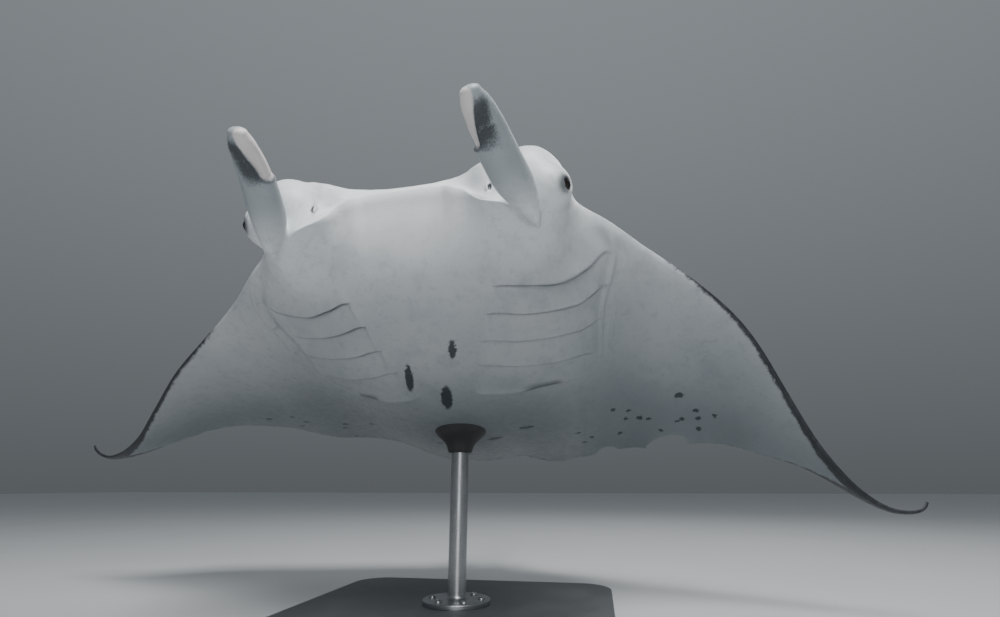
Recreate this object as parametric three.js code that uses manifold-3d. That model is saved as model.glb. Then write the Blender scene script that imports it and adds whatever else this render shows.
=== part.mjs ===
// A reef manta ray, life size, gliding nose up on a display stand.
// Millimetres, +Z up, head towards -Y, the animal's left side towards +X.
// The origin is the middle of the underside of the stand's base.
import * as THREE from "three";
import { mergeVertices } from "three/addons/utils/BufferGeometryUtils.js";
import Module from "manifold-3d";

const wasm = await Module();
wasm.setup();

// ---- Driving dimensions, millimetres and degrees ----
// The ray's own frame: x across, y from snout to tail, z from belly to back.
const halfSpan = 1650; // midline to wing tip, measured along the wing
const wingStart = 389; // where the leading edge leaves the side of the head
const gap = 0.3; // clearance between pieces that touch
const edgeHalf = 1.5; // half the thickness of the thin trailing edge
const snoutHeight = 1150; // the ray frame's origin above the floor
const snoutForward = 770; // the same origin ahead of the stand's middle
const noseUp = 25; // pitch of the ray on its stand
const leftUp = 3.65; // bank of the ray on its stand
const rearSag = 0.0000788; // how fast the rear of the disc curves down, per mm
const rearSagStart = 660;

// Outline of the disc laid flat: [distance from the midline, distance from the snout]
const frontLine = curve([
  [0, 72], [120, 76], [240, 96], [320, 124], [wingStart, 168], [528, 276], [660, 395],
  [825, 511], [990, 627], [1155, 770], [1320, 912], [1452, 988], [1551, 1019], [halfSpan, 1024],
]);
const rearLine = curve([
  [0, 1462], [80, 1460], [148, 1445], [231, 1419], [wingStart, 1328], [528, 1275], [660, 1237],
  [825, 1170], [990, 1118], [1155, 1055], [1320, 1027], [1452, 1034], [1551, 1047], [halfSpan, 1030],
]);
// Most height of the back and most depth of the belly at each distance from the midline
const backHeight = curve([
  [0, 140], [130, 138], [260, 126], [wingStart, 104], [528, 78], [660, 54], [825, 36],
  [990, 25], [1155, 17], [1320, 10], [1452, 6], [1551, 4], [halfSpan, 2.5],
]);
const bellyDepth = curve([
  [0, 236], [130, 226], [260, 192], [wingStart, 150], [528, 106], [660, 62], [825, 31],
  [990, 21], [1155, 14], [1320, 8.5], [1452, 5], [1551, 4], [halfSpan, 2.5],
]);

// Each wing's slope along its span and its twist about the leading edge, in degrees.
// The left wing is further down in its stroke than the right one.
const bendStations = [0, 130, 330, 594, 858, 1122, 1386, 1584, halfSpan];
const wings = {
  left: {
    side: 1,
    ...wingPose([0, 0, 17, -10, -31, -57, -48, -1, 59], [0, 0, -6, -13, -18, -17, 1, 15, 18]),
  },
  right: {
    side: -1,
    ...wingPose([0, 0, 3, -10, -11, -15, -2, 28, 52], [0, 0, 1, 2, 8, 15, 16, 10, 6]),
  },
};
// Healed bites out of the left wing's trailing edge
const bites = [
  { centre: 830, halfWidth: 100, depth: 58 },
  { centre: 655, halfWidth: 80, depth: 24 },
  { centre: 520, halfWidth: 75, depth: 50 },
];
const biteReach = 0.8; // the share of the chord ahead of which a bite changes nothing

// The blunt front of the head: how far its upper edge and its lower lip lie from where the
// plain disc would put them, back and up, and how far behind them this settles
const upperEdgeBack = curve([
  [0, 36], [60, 35], [106, 32], [133, 26], [173, 2], [199, -21], [230, -36], [270, -34], [320, -12],
  [wingStart, 0],
]);
const upperEdgeUp = curve([
  [0, 62], [60, 64], [106, 70], [133, 70], [173, 54], [199, 43], [225, 44], [250, 56], [280, 68], [330, 66],
  [400, 24], [480, 0],
]);
const lowerLipBack = curve([
  [0, -6], [106, -10], [136, -18], [167, -14], [185, -14], [204, -22], [224, -30], [260, -32], [300, -26],
  [350, -10], [400, 0],
]);
const lowerLipUp = curve([
  [0, 17], [60, 16], [106, 11], [136, -3], [167, -15], [185, -33], [204, -65], [224, -95], [250, -105],
  [285, -109], [320, -106], [350, -95], [400, -55], [460, -14], [530, 0],
]);
const chinUp = curve([
  [0, 17], [60, 14], [110, 4], [160, -16], [224, -54], [285, -90], [330, -94], [360, -82], [400, -54],
  [460, -18], [540, 0],
]);
const pocketDepth = curve([[0, 10], [120, 14], [190, 24], [240, 16], [300, 4], [wingStart, 0]]);
const lipGap = 6; // from the front outline back to the lower lip's edge
const browSettles = 130;
const lipSettles = 32;
const chinSettles = 105;

// The lower lip's edge droops to the corners of the mouth: [distance from the midline, height]
const lipEdge = [[0, 8], [60, 7], [106, 4], [136, -8], [167, -16], [185, -32], [204, -62], [214, -78]];
const mouth = { high: 9, from: -60, to: 140 };

// Sides of the head, with a low mound and an eye on each
const cheek = { centre: [338, 182, 26], radii: [112, 164, 121], detail: 15 };
const brow = { centre: [260, 285, 36], radii: [185, 205, 64], detail: 12 };
const eyeMound = { centre: [386, 110, -28], radii: [58, 60, 54], detail: 12 };
const eye = { centre: [425, 93, -42], radius: 20 };

// Rolled cephalic fins: centre line from inside the head to the tip, with its radius
const cephalicFin = [
  { at: [348, 158, -100], across: 8, high: 22 },
  { at: [337, 96, -110], across: 29, high: 39 },
  { at: [305, 0, -122], across: 47, high: 36 },
  { at: [276, -110, -131], across: 44, high: 29 },
  { at: [260, -188, -146], across: 35, high: 23 },
  { at: [254, -219, -149], across: 23, high: 16 },
  { at: [253, -231, -149], across: 9, high: 6 },
];
const cephalicTurn = 17; // its oval section leans, the outer edge raised, in degrees
const rightReach = 0.95; // the right cephalic fin is rolled a little shorter than the left one
const cephalicScoop = { centre: [236, -196, -158], radii: [15, 60, 18], turn: 14 };

// Tail, dorsal and pelvic fins, all inside the disc at their first point
const tail = [
  { at: [0, 1330, -30], across: 34, high: 24 },
  { at: [0, 1450, -12], across: 27, high: 20 },
  { at: [0, 1600, 62], across: 18, high: 14 },
  { at: [0, 1850, 205], across: 11, high: 9 },
  { at: [0, 2150, 375], across: 7, high: 6 },
  { at: [0, 2450, 545], across: 2.5, high: 2.5 },
];
const tailCut = 1700; // where the root of the tail ends and its whip begins
const pelvicFin = [
  { at: [100, 1340, -45], across: 50, high: 12 },
  { at: [112, 1450, -38], across: 44, high: 9 },
  { at: [124, 1520, -4], across: 30, high: 5 },
  { at: [128, 1572, 24], across: 8, high: 2 },
];
const dorsalFin = {
  base: [1310, 1445],
  foot: -25,
  top: 100,
  tip: [1425, 1468],
  thick: 15,
  tipThick: 3,
};

// Where the pieces part: the wings from the trunk, and the head from the trunk
const wingRootAt = [470, 200];
const wingRootTo = [330, 1440];
const neckAt = 300;

// Stand
const base = { across: 1000, along: 900, corner: 120, thick: 16, bevel: 3 };
const column = { radius: 30, flange: 110, flangeThick: 14, intoBelly: 120, bellyAt: 596 };
const saddle = { outer: 92, height: 110, wall: 9 };

// ---- Curves ----
// A smooth line through [x, y] points that never overshoots them, level at the first.
function curve(points) {
  const last = points.length - 1;
  const steps = points.slice(1).map(([x, y], i) => (y - points[i][1]) / (x - points[i][0]));
  const slopes = points.map((_, i) => {
    if (i === 0) return 0;
    if (i === last) return steps[last - 1];
    const [before, after] = [steps[i - 1], steps[i]];
    return before * after > 0 ? (2 * before * after) / (before + after) : 0;
  });
  return (x) => {
    const beyond = points.findIndex(([px]) => px > x);
    const i = beyond < 0 ? last - 1 : Math.max(0, beyond - 1);
    const [x0, y0] = points[i];
    const [x1, y1] = points[i + 1];
    const width = x1 - x0;
    const t = Math.min(1, Math.max(0, (x - x0) / width));
    const rise = t * t * (3 - 2 * t);
    const leave = t * (1 - t) * (1 - t) * width;
    const arrive = t * t * (t - 1) * width;
    return y0 + (y1 - y0) * rise + slopes[i] * leave + slopes[i + 1] * arrive;
  };
}

function smoothStep(x, from, to) {
  return THREE.MathUtils.smoothstep(x, from, to);
}

// ---- The disc: head, trunk and wings in one airfoil-like body ----
// Integrates a wing's slope into how far out and how high each station lies.
function wingPose(slopes, twists) {
  const slope = curve(bendStations.map((a, i) => [a, slopes[i]]));
  const twist = curve(bendStations.map((a, i) => [a, twists[i]]));
  const step = 5;
  const out = [0];
  const rise = [0];
  for (let a = 0; a < halfSpan; a += step) {
    const angle = THREE.MathUtils.degToRad(slope(a + step / 2));
    out.push(out.at(-1) + step * Math.cos(angle));
    rise.push(rise.at(-1) + step * Math.sin(angle));
  }
  const at = (list, a) => {
    const i = Math.min(list.length - 2, Math.floor(a / step));
    return THREE.MathUtils.lerp(list[i], list[i + 1], a / step - i);
  };
  return { slope, twist, out: (a) => at(out, a), rise: (a) => at(rise, a) };
}

// Takes a point of the flat disc, at a height off its middle plane, to its place in the pose.
function posed(wing, across, along, height) {
  const slope = THREE.MathUtils.degToRad(wing.slope(across));
  const twist = THREE.MathUtils.degToRad(wing.twist(across));
  const hinge = frontLine(Math.max(across, wingStart));
  const behind = along - hinge;
  const back = behind * Math.cos(twist) - height * Math.sin(twist);
  const lift = behind * Math.sin(twist) + height * Math.cos(twist);
  const sag = rearSag * Math.max(0, along - rearSagStart) ** 2;
  return new THREE.Vector3(
    wing.side * (wing.out(across) - lift * Math.sin(slope)),
    hinge + back,
    wing.rise(across) + lift * Math.cos(slope) - sag,
  );
}

// A hump from 0 to 1 of the chord, one high at its crest.
function crown(s, front, back) {
  const crest = front / (front + back);
  return (s / crest) ** front * ((1 - s) / (1 - crest)) ** back;
}

// Half the thickness above (back) or below (belly) the middle plane.
function thickness(across, s, isBack) {
  const wingness = smoothStep(across, 250, 600);
  const [most, nose] = isBack ? [backHeight(across), 12] : [bellyDepth(across), 22];
  const [trunk, wing] = isBack
    ? [crown(s, 0.62, 0.9), crown(s, 0.5, 1)]
    : [crown(s, 0.95, 1.15), crown(s, 0.6, 1)];
  const round = Math.sqrt(1 - (1 - Math.min(1, s / 0.06)) ** 2) * Math.max(0, 1 - 1.5 * s);
  const shape = most * THREE.MathUtils.lerp(trunk, wing, wingness);
  return shape + nose * (1 - wingness) * round + edgeHalf * Math.min(1, s / 0.01);
}

function biteDepth(side, across) {
  const depths = bites.map(({ centre, halfWidth, depth }) => {
    const off = Math.abs(across - centre) / halfWidth;
    return off < 1 ? depth * Math.sqrt(1 - off * off) : 0;
  });
  return side > 0 ? Math.max(...depths) : 0;
}

// One closed section of the disc, from the trailing edge over the back, down the front of
// the head to the lower lip, and along the belly.
function discSection(wing, across, grow) {
  const chordSteps = 11;
  const front = frontLine(across) - grow;
  const rear = rearLine(across) + grow;
  const bitten = 1 - biteDepth(wing.side, across) / (rear - front);
  const chord = Array.from(
    { length: chordSteps + 1 },
    (_, i) => (1 - Math.cos((Math.PI * i) / chordSteps)) / 2,
  );
  const upper = new THREE.Vector3(0, upperEdgeBack(across), upperEdgeUp(across));
  const lower = new THREE.Vector3(0, lowerLipBack(across), lowerLipUp(across));
  const chin = new THREE.Vector3(0, lowerLipBack(across), chinUp(across));
  const point = (whole, isBack) => {
    const squeeze = (bitten - biteReach) / (1 - biteReach);
    const s = whole < biteReach ? whole : biteReach + (whole - biteReach) * squeeze;
    const swell = s > 0 ? grow : 0;
    const height = thickness(across, s, isBack) + swell;
    return posed(wing, across, front + (rear - front) * s, isBack ? height : -height);
  };
  const lip = Math.min(lipGap / (rear - front), 0.008);
  const onBack = (s) => {
    const share = 1 - smoothStep((rear - front) * s, 0, browSettles);
    return point(s, true).addScaledVector(upper, share);
  };
  const onBelly = (s) => {
    const behind = (rear - front) * (s - lip);
    const lipShare = Math.exp(-behind / lipSettles);
    const chinShare = Math.exp(-behind / chinSettles) - lipShare;
    return point(s, false).addScaledVector(chin, chinShare).addScaledVector(lower, lipShare);
  };
  const face = point(lip / 4, false).addScaledVector(upper, 0.5).addScaledVector(lower, 0.5);
  face.y += pocketDepth(across);
  const back = chord.toReversed().map(onBack);
  const belly = [lip, ...chord.slice(1)].map(onBelly);
  return [...back, face, ...belly];
}

// Distances from the midline at which a section is taken: closer where the outline turns.
function discStations(side) {
  const head = [50, 98, 136, 170, 192, 213, 238, 275, 315, 355, 400, 452];
  const plain = [524, 604, 668, 744, 840, 910, 1000, 1095];
  const outer = [1190, 1280, 1360, 1430, 1495, 1550, 1600, halfSpan];
  const bitten = side > 0 ? bites.flatMap(({ centre, halfWidth }) => scallop(centre, halfWidth)) : [];
  return [...head, ...plain, ...outer, ...bitten].sort((a, b) => a - b);
}

function scallop(centre, halfWidth) {
  return [-1, -0.8, -0.25, 0.4, 0.9].map((t) => centre + t * halfWidth);
}

function discSolid(grow = 0) {
  const rings = [
    ...discStations(-1).reverse().map((a) => discSection(wings.right, a, grow)),
    discSection(wings.left, 0, grow),
    ...discStations(1).map((a) => discSection(wings.left, a, grow)),
  ];
  return loft(rings);
}

// ---- Solids ----
function solid(geometry, matrix = new THREE.Matrix4()) {
  const bare = new THREE.BufferGeometry();
  bare.setAttribute("position", geometry.getAttribute("position").clone());
  bare.setIndex(geometry.getIndex());
  const merged = mergeVertices(bare.applyMatrix4(matrix), 1e-3);
  const triVerts = new Uint32Array(merged.index.array);
  const vertProperties = merged.getAttribute("position").array;
  return new wasm.Manifold(new wasm.Mesh({ numProp: 3, vertProperties, triVerts }));
}

// A body through rings of points, all of one length, with a flat cap on each end.
function loft(rings) {
  const count = rings[0].length;
  const points = rings.flat();
  const faces = [];
  for (let r = 0; r + 1 < rings.length; r++) {
    for (let i = 0; i < count; i++) {
      const j = (i + 1) % count;
      const [a, b] = [r * count + i, r * count + j];
      faces.push(a, b, a + count, b, b + count, a + count);
    }
  }
  for (const [ring, first, turn] of [[rings[0], 0, false], [rings.at(-1), points.length - count, true]]) {
    const centre = ring.reduce((sum, p) => sum.add(p), new THREE.Vector3()).divideScalar(count);
    const hub = points.push(centre) - 1;
    for (let i = 0; i < count; i++) {
      const j = (i + 1) % count;
      faces.push(...(turn ? [hub, first + i, first + j] : [hub, first + j, first + i]));
    }
  }
  const geometry = new THREE.BufferGeometry().setFromPoints(points);
  geometry.setIndex(faces);
  return outward(geometry);
}

// Turns a closed body's faces outwards if its rings ran the other way.
function outward(geometry) {
  const [p, index] = [geometry.getAttribute("position"), geometry.getIndex()];
  const corner = (i) => new THREE.Vector3().fromBufferAttribute(p, index.getX(i));
  let volume = 0;
  for (let i = 0; i < index.count; i += 3) {
    volume += corner(i).dot(corner(i + 1).cross(corner(i + 2)));
  }
  if (volume < 0) index.array.reverse();
  return solid(geometry);
}

// A rounded limb along centre points, oval across it.
function limb(stations, side, steps, grow = 0, turn = 0, reach = 1) {
  const part = (key) => curve(stations.map((s, i) => [i, s[key]]));
  const centre = [0, 1, 2].map((axis) => curve(stations.map((s, i) => [i, s.at[axis]])));
  const across = part("across");
  const high = part("high");
  const place = (t) => {
    const y = centre[1](t);
    return new THREE.Vector3(side * centre[0](t), y < 0 ? y * reach : y, centre[2](t));
  };
  const sides = 12;
  const rings = Array.from({ length: steps + 1 }, (_, k) => {
    const t = (k / steps) * (stations.length - 1);
    const next = place(Math.min(t + 0.05, stations.length - 1));
    const ahead = next.sub(place(Math.max(t - 0.05, 0))).normalize();
    const lean = side * THREE.MathUtils.degToRad(turn);
    const level = new THREE.Vector3(1, 0, 0).addScaledVector(ahead, -ahead.x).normalize();
    const sideways = level.clone().applyAxisAngle(ahead, lean);
    const upright = new THREE.Vector3().crossVectors(sideways, ahead);
    return Array.from({ length: sides }, (_, i) => {
      const angle = (2 * Math.PI * i) / sides;
      return place(t)
        .addScaledVector(sideways, (across(t) + grow) * Math.cos(angle))
        .addScaledVector(upright, (high(t) + grow) * Math.sin(angle));
    });
  });
  return loft(rings);
}

function ellipsoid({ centre, radii, turn = 0, detail = 18 }, side, grow = 0) {
  const matrix = new THREE.Matrix4().compose(
    new THREE.Vector3(side * centre[0], centre[1], centre[2]),
    new THREE.Quaternion().setFromEuler(new THREE.Euler(0, 0, side * THREE.MathUtils.degToRad(turn))),
    new THREE.Vector3(...radii.map((r) => r + grow)),
  );
  return solid(new THREE.SphereGeometry(1, detail, Math.round(detail * 0.6)), matrix);
}

// Everything on one side of a plane: the side its normal points to.
function halfSpace(point, normal) {
  const size = 6000;
  const direction = normal.clone().normalize();
  const matrix = new THREE.Matrix4().compose(
    point.clone().addScaledVector(direction, size / 2 + gap / 2),
    new THREE.Quaternion().setFromUnitVectors(new THREE.Vector3(0, 0, 1), direction),
    new THREE.Vector3(1, 1, 1),
  );
  return solid(new THREE.BoxGeometry(size, size, size), matrix);
}

// A block whose outline, seen from the front, lies between two lines of [across, up] points.
function frontBlock(above, below, from, to) {
  const left = above.toReversed().map(([x, z]) => [-x, z]);
  const outline = [...left, ...above.slice(1), ...below.toReversed()];
  outline.push(...below.slice(1).map(([x, z]) => [-x, z]));
  const shape = new THREE.Shape(outline.map(([x, z]) => new THREE.Vector2(x, z)));
  const block = new THREE.ExtrudeGeometry(shape, { depth: to - from, bevelEnabled: false });
  return solid(block.rotateX(Math.PI / 2).translate(0, to, 0));
}

function mouthSlit() {
  const above = lipEdge.map(([x, z]) => [x, z + mouth.high]);
  return frontBlock(above, lipEdge, mouth.from, mouth.to);
}

// Everything below the lower lip's edge, as far out as the corners of the mouth.
function jawBlock(grow) {
  const side = lipEdge.at(-1)[0] + grow;
  const above = [...lipEdge.slice(0, -1), [side, lipEdge.at(-1)[1]]].map(([x, z]) => [x, z + grow]);
  return frontBlock(above, [[0, -600], [side, -600]], -600, 600);
}

// ---- Where the ray sits on its stand ----
const rayPlace = new THREE.Matrix4().compose(
  new THREE.Vector3(0, -snoutForward, snoutHeight),
  new THREE.Quaternion().setFromEuler(
    new THREE.Euler(THREE.MathUtils.degToRad(-noseUp), THREE.MathUtils.degToRad(-leftUp), 0),
  ),
  new THREE.Vector3(1, 1, 1),
);
const standToRay = rayPlace.clone().invert();

// ---- Stand ----
function roundedRectangle(across, along, corner) {
  const [x, y] = [across / 2, along / 2];
  const shape = new THREE.Shape();
  shape.moveTo(-x + corner, -y);
  shape.absarc(x - corner, -y + corner, corner, -Math.PI / 2, 0);
  shape.absarc(x - corner, y - corner, corner, 0, Math.PI / 2);
  shape.absarc(-x + corner, y - corner, corner, Math.PI / 2, Math.PI);
  shape.absarc(-x + corner, -y + corner, corner, Math.PI, 1.5 * Math.PI);
  return shape;
}

function standBase() {
  const { across, along, corner, thick, bevel } = base;
  const shape = roundedRectangle(across - 2 * bevel, along - 2 * bevel, corner - bevel);
  const slab = new THREE.ExtrudeGeometry(shape, {
    depth: thick - 2 * bevel,
    bevelThickness: bevel,
    bevelSize: bevel,
    bevelSegments: 1,
    curveSegments: 5,
  });
  return solid(slab.translate(0, 0, bevel));
}

function turned(profile, segments) {
  const points = profile.map(([r, z]) => new THREE.Vector2(r, z));
  return new THREE.LatheGeometry(points, segments).rotateX(Math.PI / 2);
}

const columnFoot = base.thick + gap;
const columnTop = column.bellyAt + column.intoBelly;

function standColumn(grow = 0) {
  const { radius, flange, flangeThick } = column;
  return turned(
    [
      [0, columnFoot - grow],
      [flange + grow, columnFoot - grow],
      [flange + grow, columnFoot + flangeThick - 3 + grow],
      [flange - 3 + grow, columnFoot + flangeThick + grow],
      [radius + 14 + grow, columnFoot + flangeThick + grow],
      [radius + grow, columnFoot + flangeThick + 22 + grow],
      [radius + grow, columnTop - 4 + grow],
      [radius - 4 + grow, columnTop + grow],
      [0, columnTop + grow],
    ],
    20,
  );
}

// The padded cup that carries the belly, open round the column.
function standSaddle() {
  const inner = column.radius + gap;
  const foot = column.bellyAt - saddle.height;
  const top = column.bellyAt + saddle.height;
  const profile = [
    [inner, foot],
    [inner + saddle.wall, foot],
    [inner + saddle.wall + 4, foot + 12],
    [inner + saddle.wall + 10, foot + 45],
    [saddle.outer, column.bellyAt - 30],
    [saddle.outer, top],
    [inner, top],
    [inner, foot],
  ];
  return solid(turned(profile, 24));
}

// ---- Put together ----
const disc = discSolid();
const discGrown = discSolid(gap);
const sides = Object.entries(wings).map(([name, { side }]) => ({ name, side }));
const headLobes = (side, grow) =>
  ellipsoid(cheek, side, grow).add(ellipsoid(brow, side, grow)).add(ellipsoid(eyeMound, side, grow));
const eyeShape = { centre: eye.centre, radii: Array(3).fill(eye.radius), detail: 12 };
const eyeBall = (side, grow) => ellipsoid(eyeShape, side, grow);
const headAndDisc = sides.reduce((whole, { side }) => whole.add(headLobes(side, 0)), disc);

let carved = headAndDisc.subtract(mouthSlit());
for (const { side } of sides) {
  carved = carved.subtract(eyeBall(side, gap));
}
carved = carved.subtract(solid(standColumn(gap), standToRay));

const rootLine = new THREE.Vector2(...wingRootTo).sub(new THREE.Vector2(...wingRootAt));
const rootPoint = (side) => new THREE.Vector3(side * wingRootAt[0], wingRootAt[1], 0);
const rootNormal = (side) => new THREE.Vector3(side * rootLine.y, -rootLine.x, 0);
const wingOf = (side) => carved.intersect(halfSpace(rootPoint(side), rootNormal(side)));
const inside = sides.reduce(
  (rest, { side }) => rest.intersect(halfSpace(rootPoint(side), rootNormal(side).negate())),
  carved,
);
const neck = new THREE.Vector3(0, neckAt, 0);
const ahead = new THREE.Vector3(0, -1, 0);
const skull = inside.intersect(halfSpace(neck, ahead));
const trunk = inside.intersect(halfSpace(neck, ahead.clone().negate()));
const tailGrown = limb(tail, 1, 14, gap);
const wholeTail = limb(tail, 1, 14).subtract(discGrown);
const tailEnd = new THREE.Vector3(0, tailCut, 0);
const aft = new THREE.Vector3(0, 1, 0);

// Thin fin standing on the tail's root, its sections lens-shaped and swept back.
function dorsalSolid() {
  const { base: foot, tip, thick, tipThick } = dorsalFin;
  const levels = 6;
  const outline = 12;
  const rings = Array.from({ length: levels + 1 }, (_, k) => {
    const t = k / levels;
    const from = THREE.MathUtils.lerp(foot[0], tip[0], t);
    const to = THREE.MathUtils.lerp(foot[1], tip[1], t);
    const half = THREE.MathUtils.lerp(thick, tipThick, t) / 2;
    const z = THREE.MathUtils.lerp(dorsalFin.foot, dorsalFin.top, t);
    return Array.from({ length: outline }, (_, i) => {
      const turn = (2 * Math.PI * i) / outline;
      return new THREE.Vector3(
        half * Math.sin(turn),
        (from + to) / 2 + ((to - from) / 2) * Math.cos(turn),
        z,
      );
    });
  });
  return loft(rings);
}

const colours = {
  back: 0x23262b,
  belly: 0xc9cdd0,
  eye: 0x0b0b0d,
  stand: 0x3a3d41,
};

const group = new THREE.Group();
const ray = new THREE.Group();
ray.applyMatrix4(rayPlace);
group.add(ray);

function addMesh(parent, name, body, color, roughness = 0.55, metalness = 0) {
  const { vertProperties, triVerts } = body.getMesh();
  const geometry = new THREE.BufferGeometry();
  geometry.setAttribute("position", new THREE.BufferAttribute(new Float32Array(vertProperties), 3));
  geometry.setIndex(new THREE.BufferAttribute(new Uint32Array(triVerts), 1));
  const material = new THREE.MeshStandardMaterial({ color, roughness, metalness });
  const mesh = new THREE.Mesh(geometry, material);
  mesh.name = name;
  parent.add(mesh);
}

addMesh(ray, "head", skull.subtract(jawBlock(gap)), colours.belly);
addMesh(ray, "lower_jaw", skull.intersect(jawBlock(0)), colours.belly);
addMesh(ray, "trunk", trunk, colours.belly);
for (const { name, side } of sides) {
  const grownHead = discGrown.add(headLobes(side, gap));
  const reach = side > 0 ? 1 : rightReach;
  const horn = limb(cephalicFin, side, 15, 0, cephalicTurn, reach).subtract(ellipsoid(cephalicScoop, side));
  const pelvic = limb(pelvicFin, side, 10).subtract(discGrown).subtract(tailGrown);
  addMesh(ray, `${name}_pectoral_fin`, wingOf(side), colours.belly);
  addMesh(ray, `${name}_cephalic_fin`, horn.subtract(grownHead), colours.belly);
  addMesh(ray, `${name}_eye`, eyeBall(side, 0), colours.eye, 0.15);
  addMesh(ray, `${name}_pelvic_fin`, pelvic, colours.back);
}
addMesh(ray, "dorsal_fin", dorsalSolid().subtract(discGrown).subtract(tailGrown), colours.back);
addMesh(ray, "tail_root", wholeTail.intersect(halfSpace(tailEnd, aft.clone().negate())), colours.back);
addMesh(ray, "tail_whip", wholeTail.intersect(halfSpace(tailEnd, aft)), colours.back);

addMesh(group, "stand_base", standBase(), colours.stand, 0.45, 0.6);
addMesh(group, "stand_column", solid(standColumn()), colours.stand, 0.35, 0.8);
const bellyClear = discSolid(gap).transform(rayPlace.elements);
addMesh(group, "stand_saddle", standSaddle().subtract(bellyClear), colours.stand, 0.8);

export default group;
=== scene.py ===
import math

import bmesh
import bpy
import numpy as np
from mathutils import Euler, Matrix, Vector
from mathutils.kdtree import KDTree


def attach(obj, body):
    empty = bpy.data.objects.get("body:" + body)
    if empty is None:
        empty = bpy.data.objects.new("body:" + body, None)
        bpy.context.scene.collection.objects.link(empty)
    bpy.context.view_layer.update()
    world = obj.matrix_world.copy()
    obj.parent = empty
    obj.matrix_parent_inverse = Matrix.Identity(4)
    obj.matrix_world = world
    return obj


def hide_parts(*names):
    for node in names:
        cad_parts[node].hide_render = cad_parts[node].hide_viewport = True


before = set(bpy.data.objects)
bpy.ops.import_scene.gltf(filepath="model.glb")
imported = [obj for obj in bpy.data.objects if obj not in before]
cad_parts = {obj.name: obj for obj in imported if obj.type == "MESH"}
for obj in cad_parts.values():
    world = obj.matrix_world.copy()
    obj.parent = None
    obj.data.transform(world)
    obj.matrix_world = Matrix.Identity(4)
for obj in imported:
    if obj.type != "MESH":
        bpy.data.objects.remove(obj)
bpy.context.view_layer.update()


# ---- Viewpoint ----
# The viewer stands low in front of the ray and a little to its left,
# looking up at the belly with a wide lens.
viewpoint = (0.469, -1.841, 0.374)
look_up = 18.95
look_right_of_stand = -10.05
lens = 18.65

eyepiece = bpy.data.cameras.new("viewer")
eyepiece.lens = lens
eyepiece.sensor_width = 36
eyepiece.clip_start = 0.01
viewer = bpy.data.objects.new("viewer", eyepiece)
viewer.location = viewpoint
viewer.rotation_euler = (math.radians(90 + look_up), 0, math.radians(-look_right_of_stand))
bpy.context.scene.collection.objects.link(viewer)
bpy.context.scene.camera = viewer


# ---- Gallery floor and light ----
# A plain pale floor under a surround that grows paler upwards, and large soft
# lamps: one high in front, one low by the viewer, and one behind for the outline.
floor_reach = 30
floor_colour = (0.50, 0.51, 0.52)
surround_colour = (0.60, 0.66, 0.70)
horizon_strength = 0.17
overhead_strength = 0.45
lamps = {
    "front_high": {"at": (1.2, -3.2, 5.0), "aim": (0, -0.6, 1.1), "size": 2.0, "watts": 400},
    "front_low": {"at": (0.8, -3.4, 0.6), "aim": (-0.1, -0.6, 1.0), "size": 1.2, "watts": 13},
    "behind": {"at": (1.4, 3.0, 4.4), "aim": (0, 0, 1.0), "size": 2.4, "watts": 60},
}


class Finish:
    """A material whose nodes are added one by one; inputs take values or other nodes' outputs."""

    def __init__(self, name):
        self.material = bpy.data.materials.new(name)
        self.material.use_nodes = True
        self.tree = self.material.node_tree
        self.tree.nodes.clear()

    def add(self, kind, inputs=None, **settings):
        node = self.tree.nodes.new("ShaderNode" + kind)
        for key, value in settings.items():
            setattr(node, key, value)
        for key, value in (inputs or {}).items():
            if isinstance(value, bpy.types.NodeSocket):
                self.tree.links.new(value, node.inputs[key])
            else:
                node.inputs[key].default_value = value
        return node

    def math(self, operation, a, b=0.0, c=0.0):
        return self.add("Math", {0: a, 1: b, 2: c}, operation=operation).outputs[0]

    def ramp(self, value, low, high, to_low=0.0, to_high=1.0):
        inputs = {0: value, 1: low, 2: high, 3: to_low, 4: to_high}
        return self.add("MapRange", inputs, interpolation_type="SMOOTHSTEP").outputs[0]

    def mix(self, share, a, b):
        mixed = self.add("Mix", data_type="RGBA")
        for key, value in ((0, share), (6, a), (7, b)):
            if isinstance(value, bpy.types.NodeSocket):
                self.tree.links.new(value, mixed.inputs[key])
            else:
                mixed.inputs[key].default_value = value if key == 0 else (*value, 1)
        return mixed.outputs[2]

    def noise(self, vector, scale, detail=4.0, roughness=0.5):
        inputs = {"Vector": vector, "Scale": scale, "Detail": detail, "Roughness": roughness}
        return self.add("TexNoise", inputs).outputs[0]

    def place(self):
        return self.add("TexCoord").outputs["Object"]

    def bump(self, height, distance, strength=1.0, under=None):
        inputs = {"Height": height, "Distance": distance, "Strength": strength}
        if under is not None:
            inputs["Normal"] = under
        return self.add("Bump", inputs).outputs[0]

    def done(self, colour, roughness, normal=None, **settings):
        shader = self.add("BsdfPrincipled", {"Roughness": roughness})
        if isinstance(colour, bpy.types.NodeSocket):
            self.tree.links.new(colour, shader.inputs["Base Color"])
        else:
            shader.inputs["Base Color"].default_value = (*colour, 1)
        if normal is not None:
            self.tree.links.new(normal, shader.inputs["Normal"])
        for key, value in settings.items():
            shader.inputs[key.replace("_", " ")].default_value = value
        output = self.add("OutputMaterial")
        self.tree.links.new(shader.outputs[0], output.inputs[0])
        return self.material


def floor_finish():
    f = Finish("gallery_floor")
    cloud = f.noise(f.place(), 1.5)
    colour = f.mix(f.ramp(cloud, 0.3, 0.7), floor_colour, tuple(0.97 * c for c in floor_colour))
    return f.done(colour, 0.7)


def mesh_object(name, points, faces, smooth=True):
    mesh = bpy.data.meshes.new(name)
    mesh.from_pydata([tuple(p) for p in points], [], faces)
    mesh.update()
    mesh.polygons.foreach_set("use_smooth", [smooth] * len(mesh.polygons))
    made = bpy.data.objects.new(name, mesh)
    bpy.context.scene.collection.objects.link(made)
    return made


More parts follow.
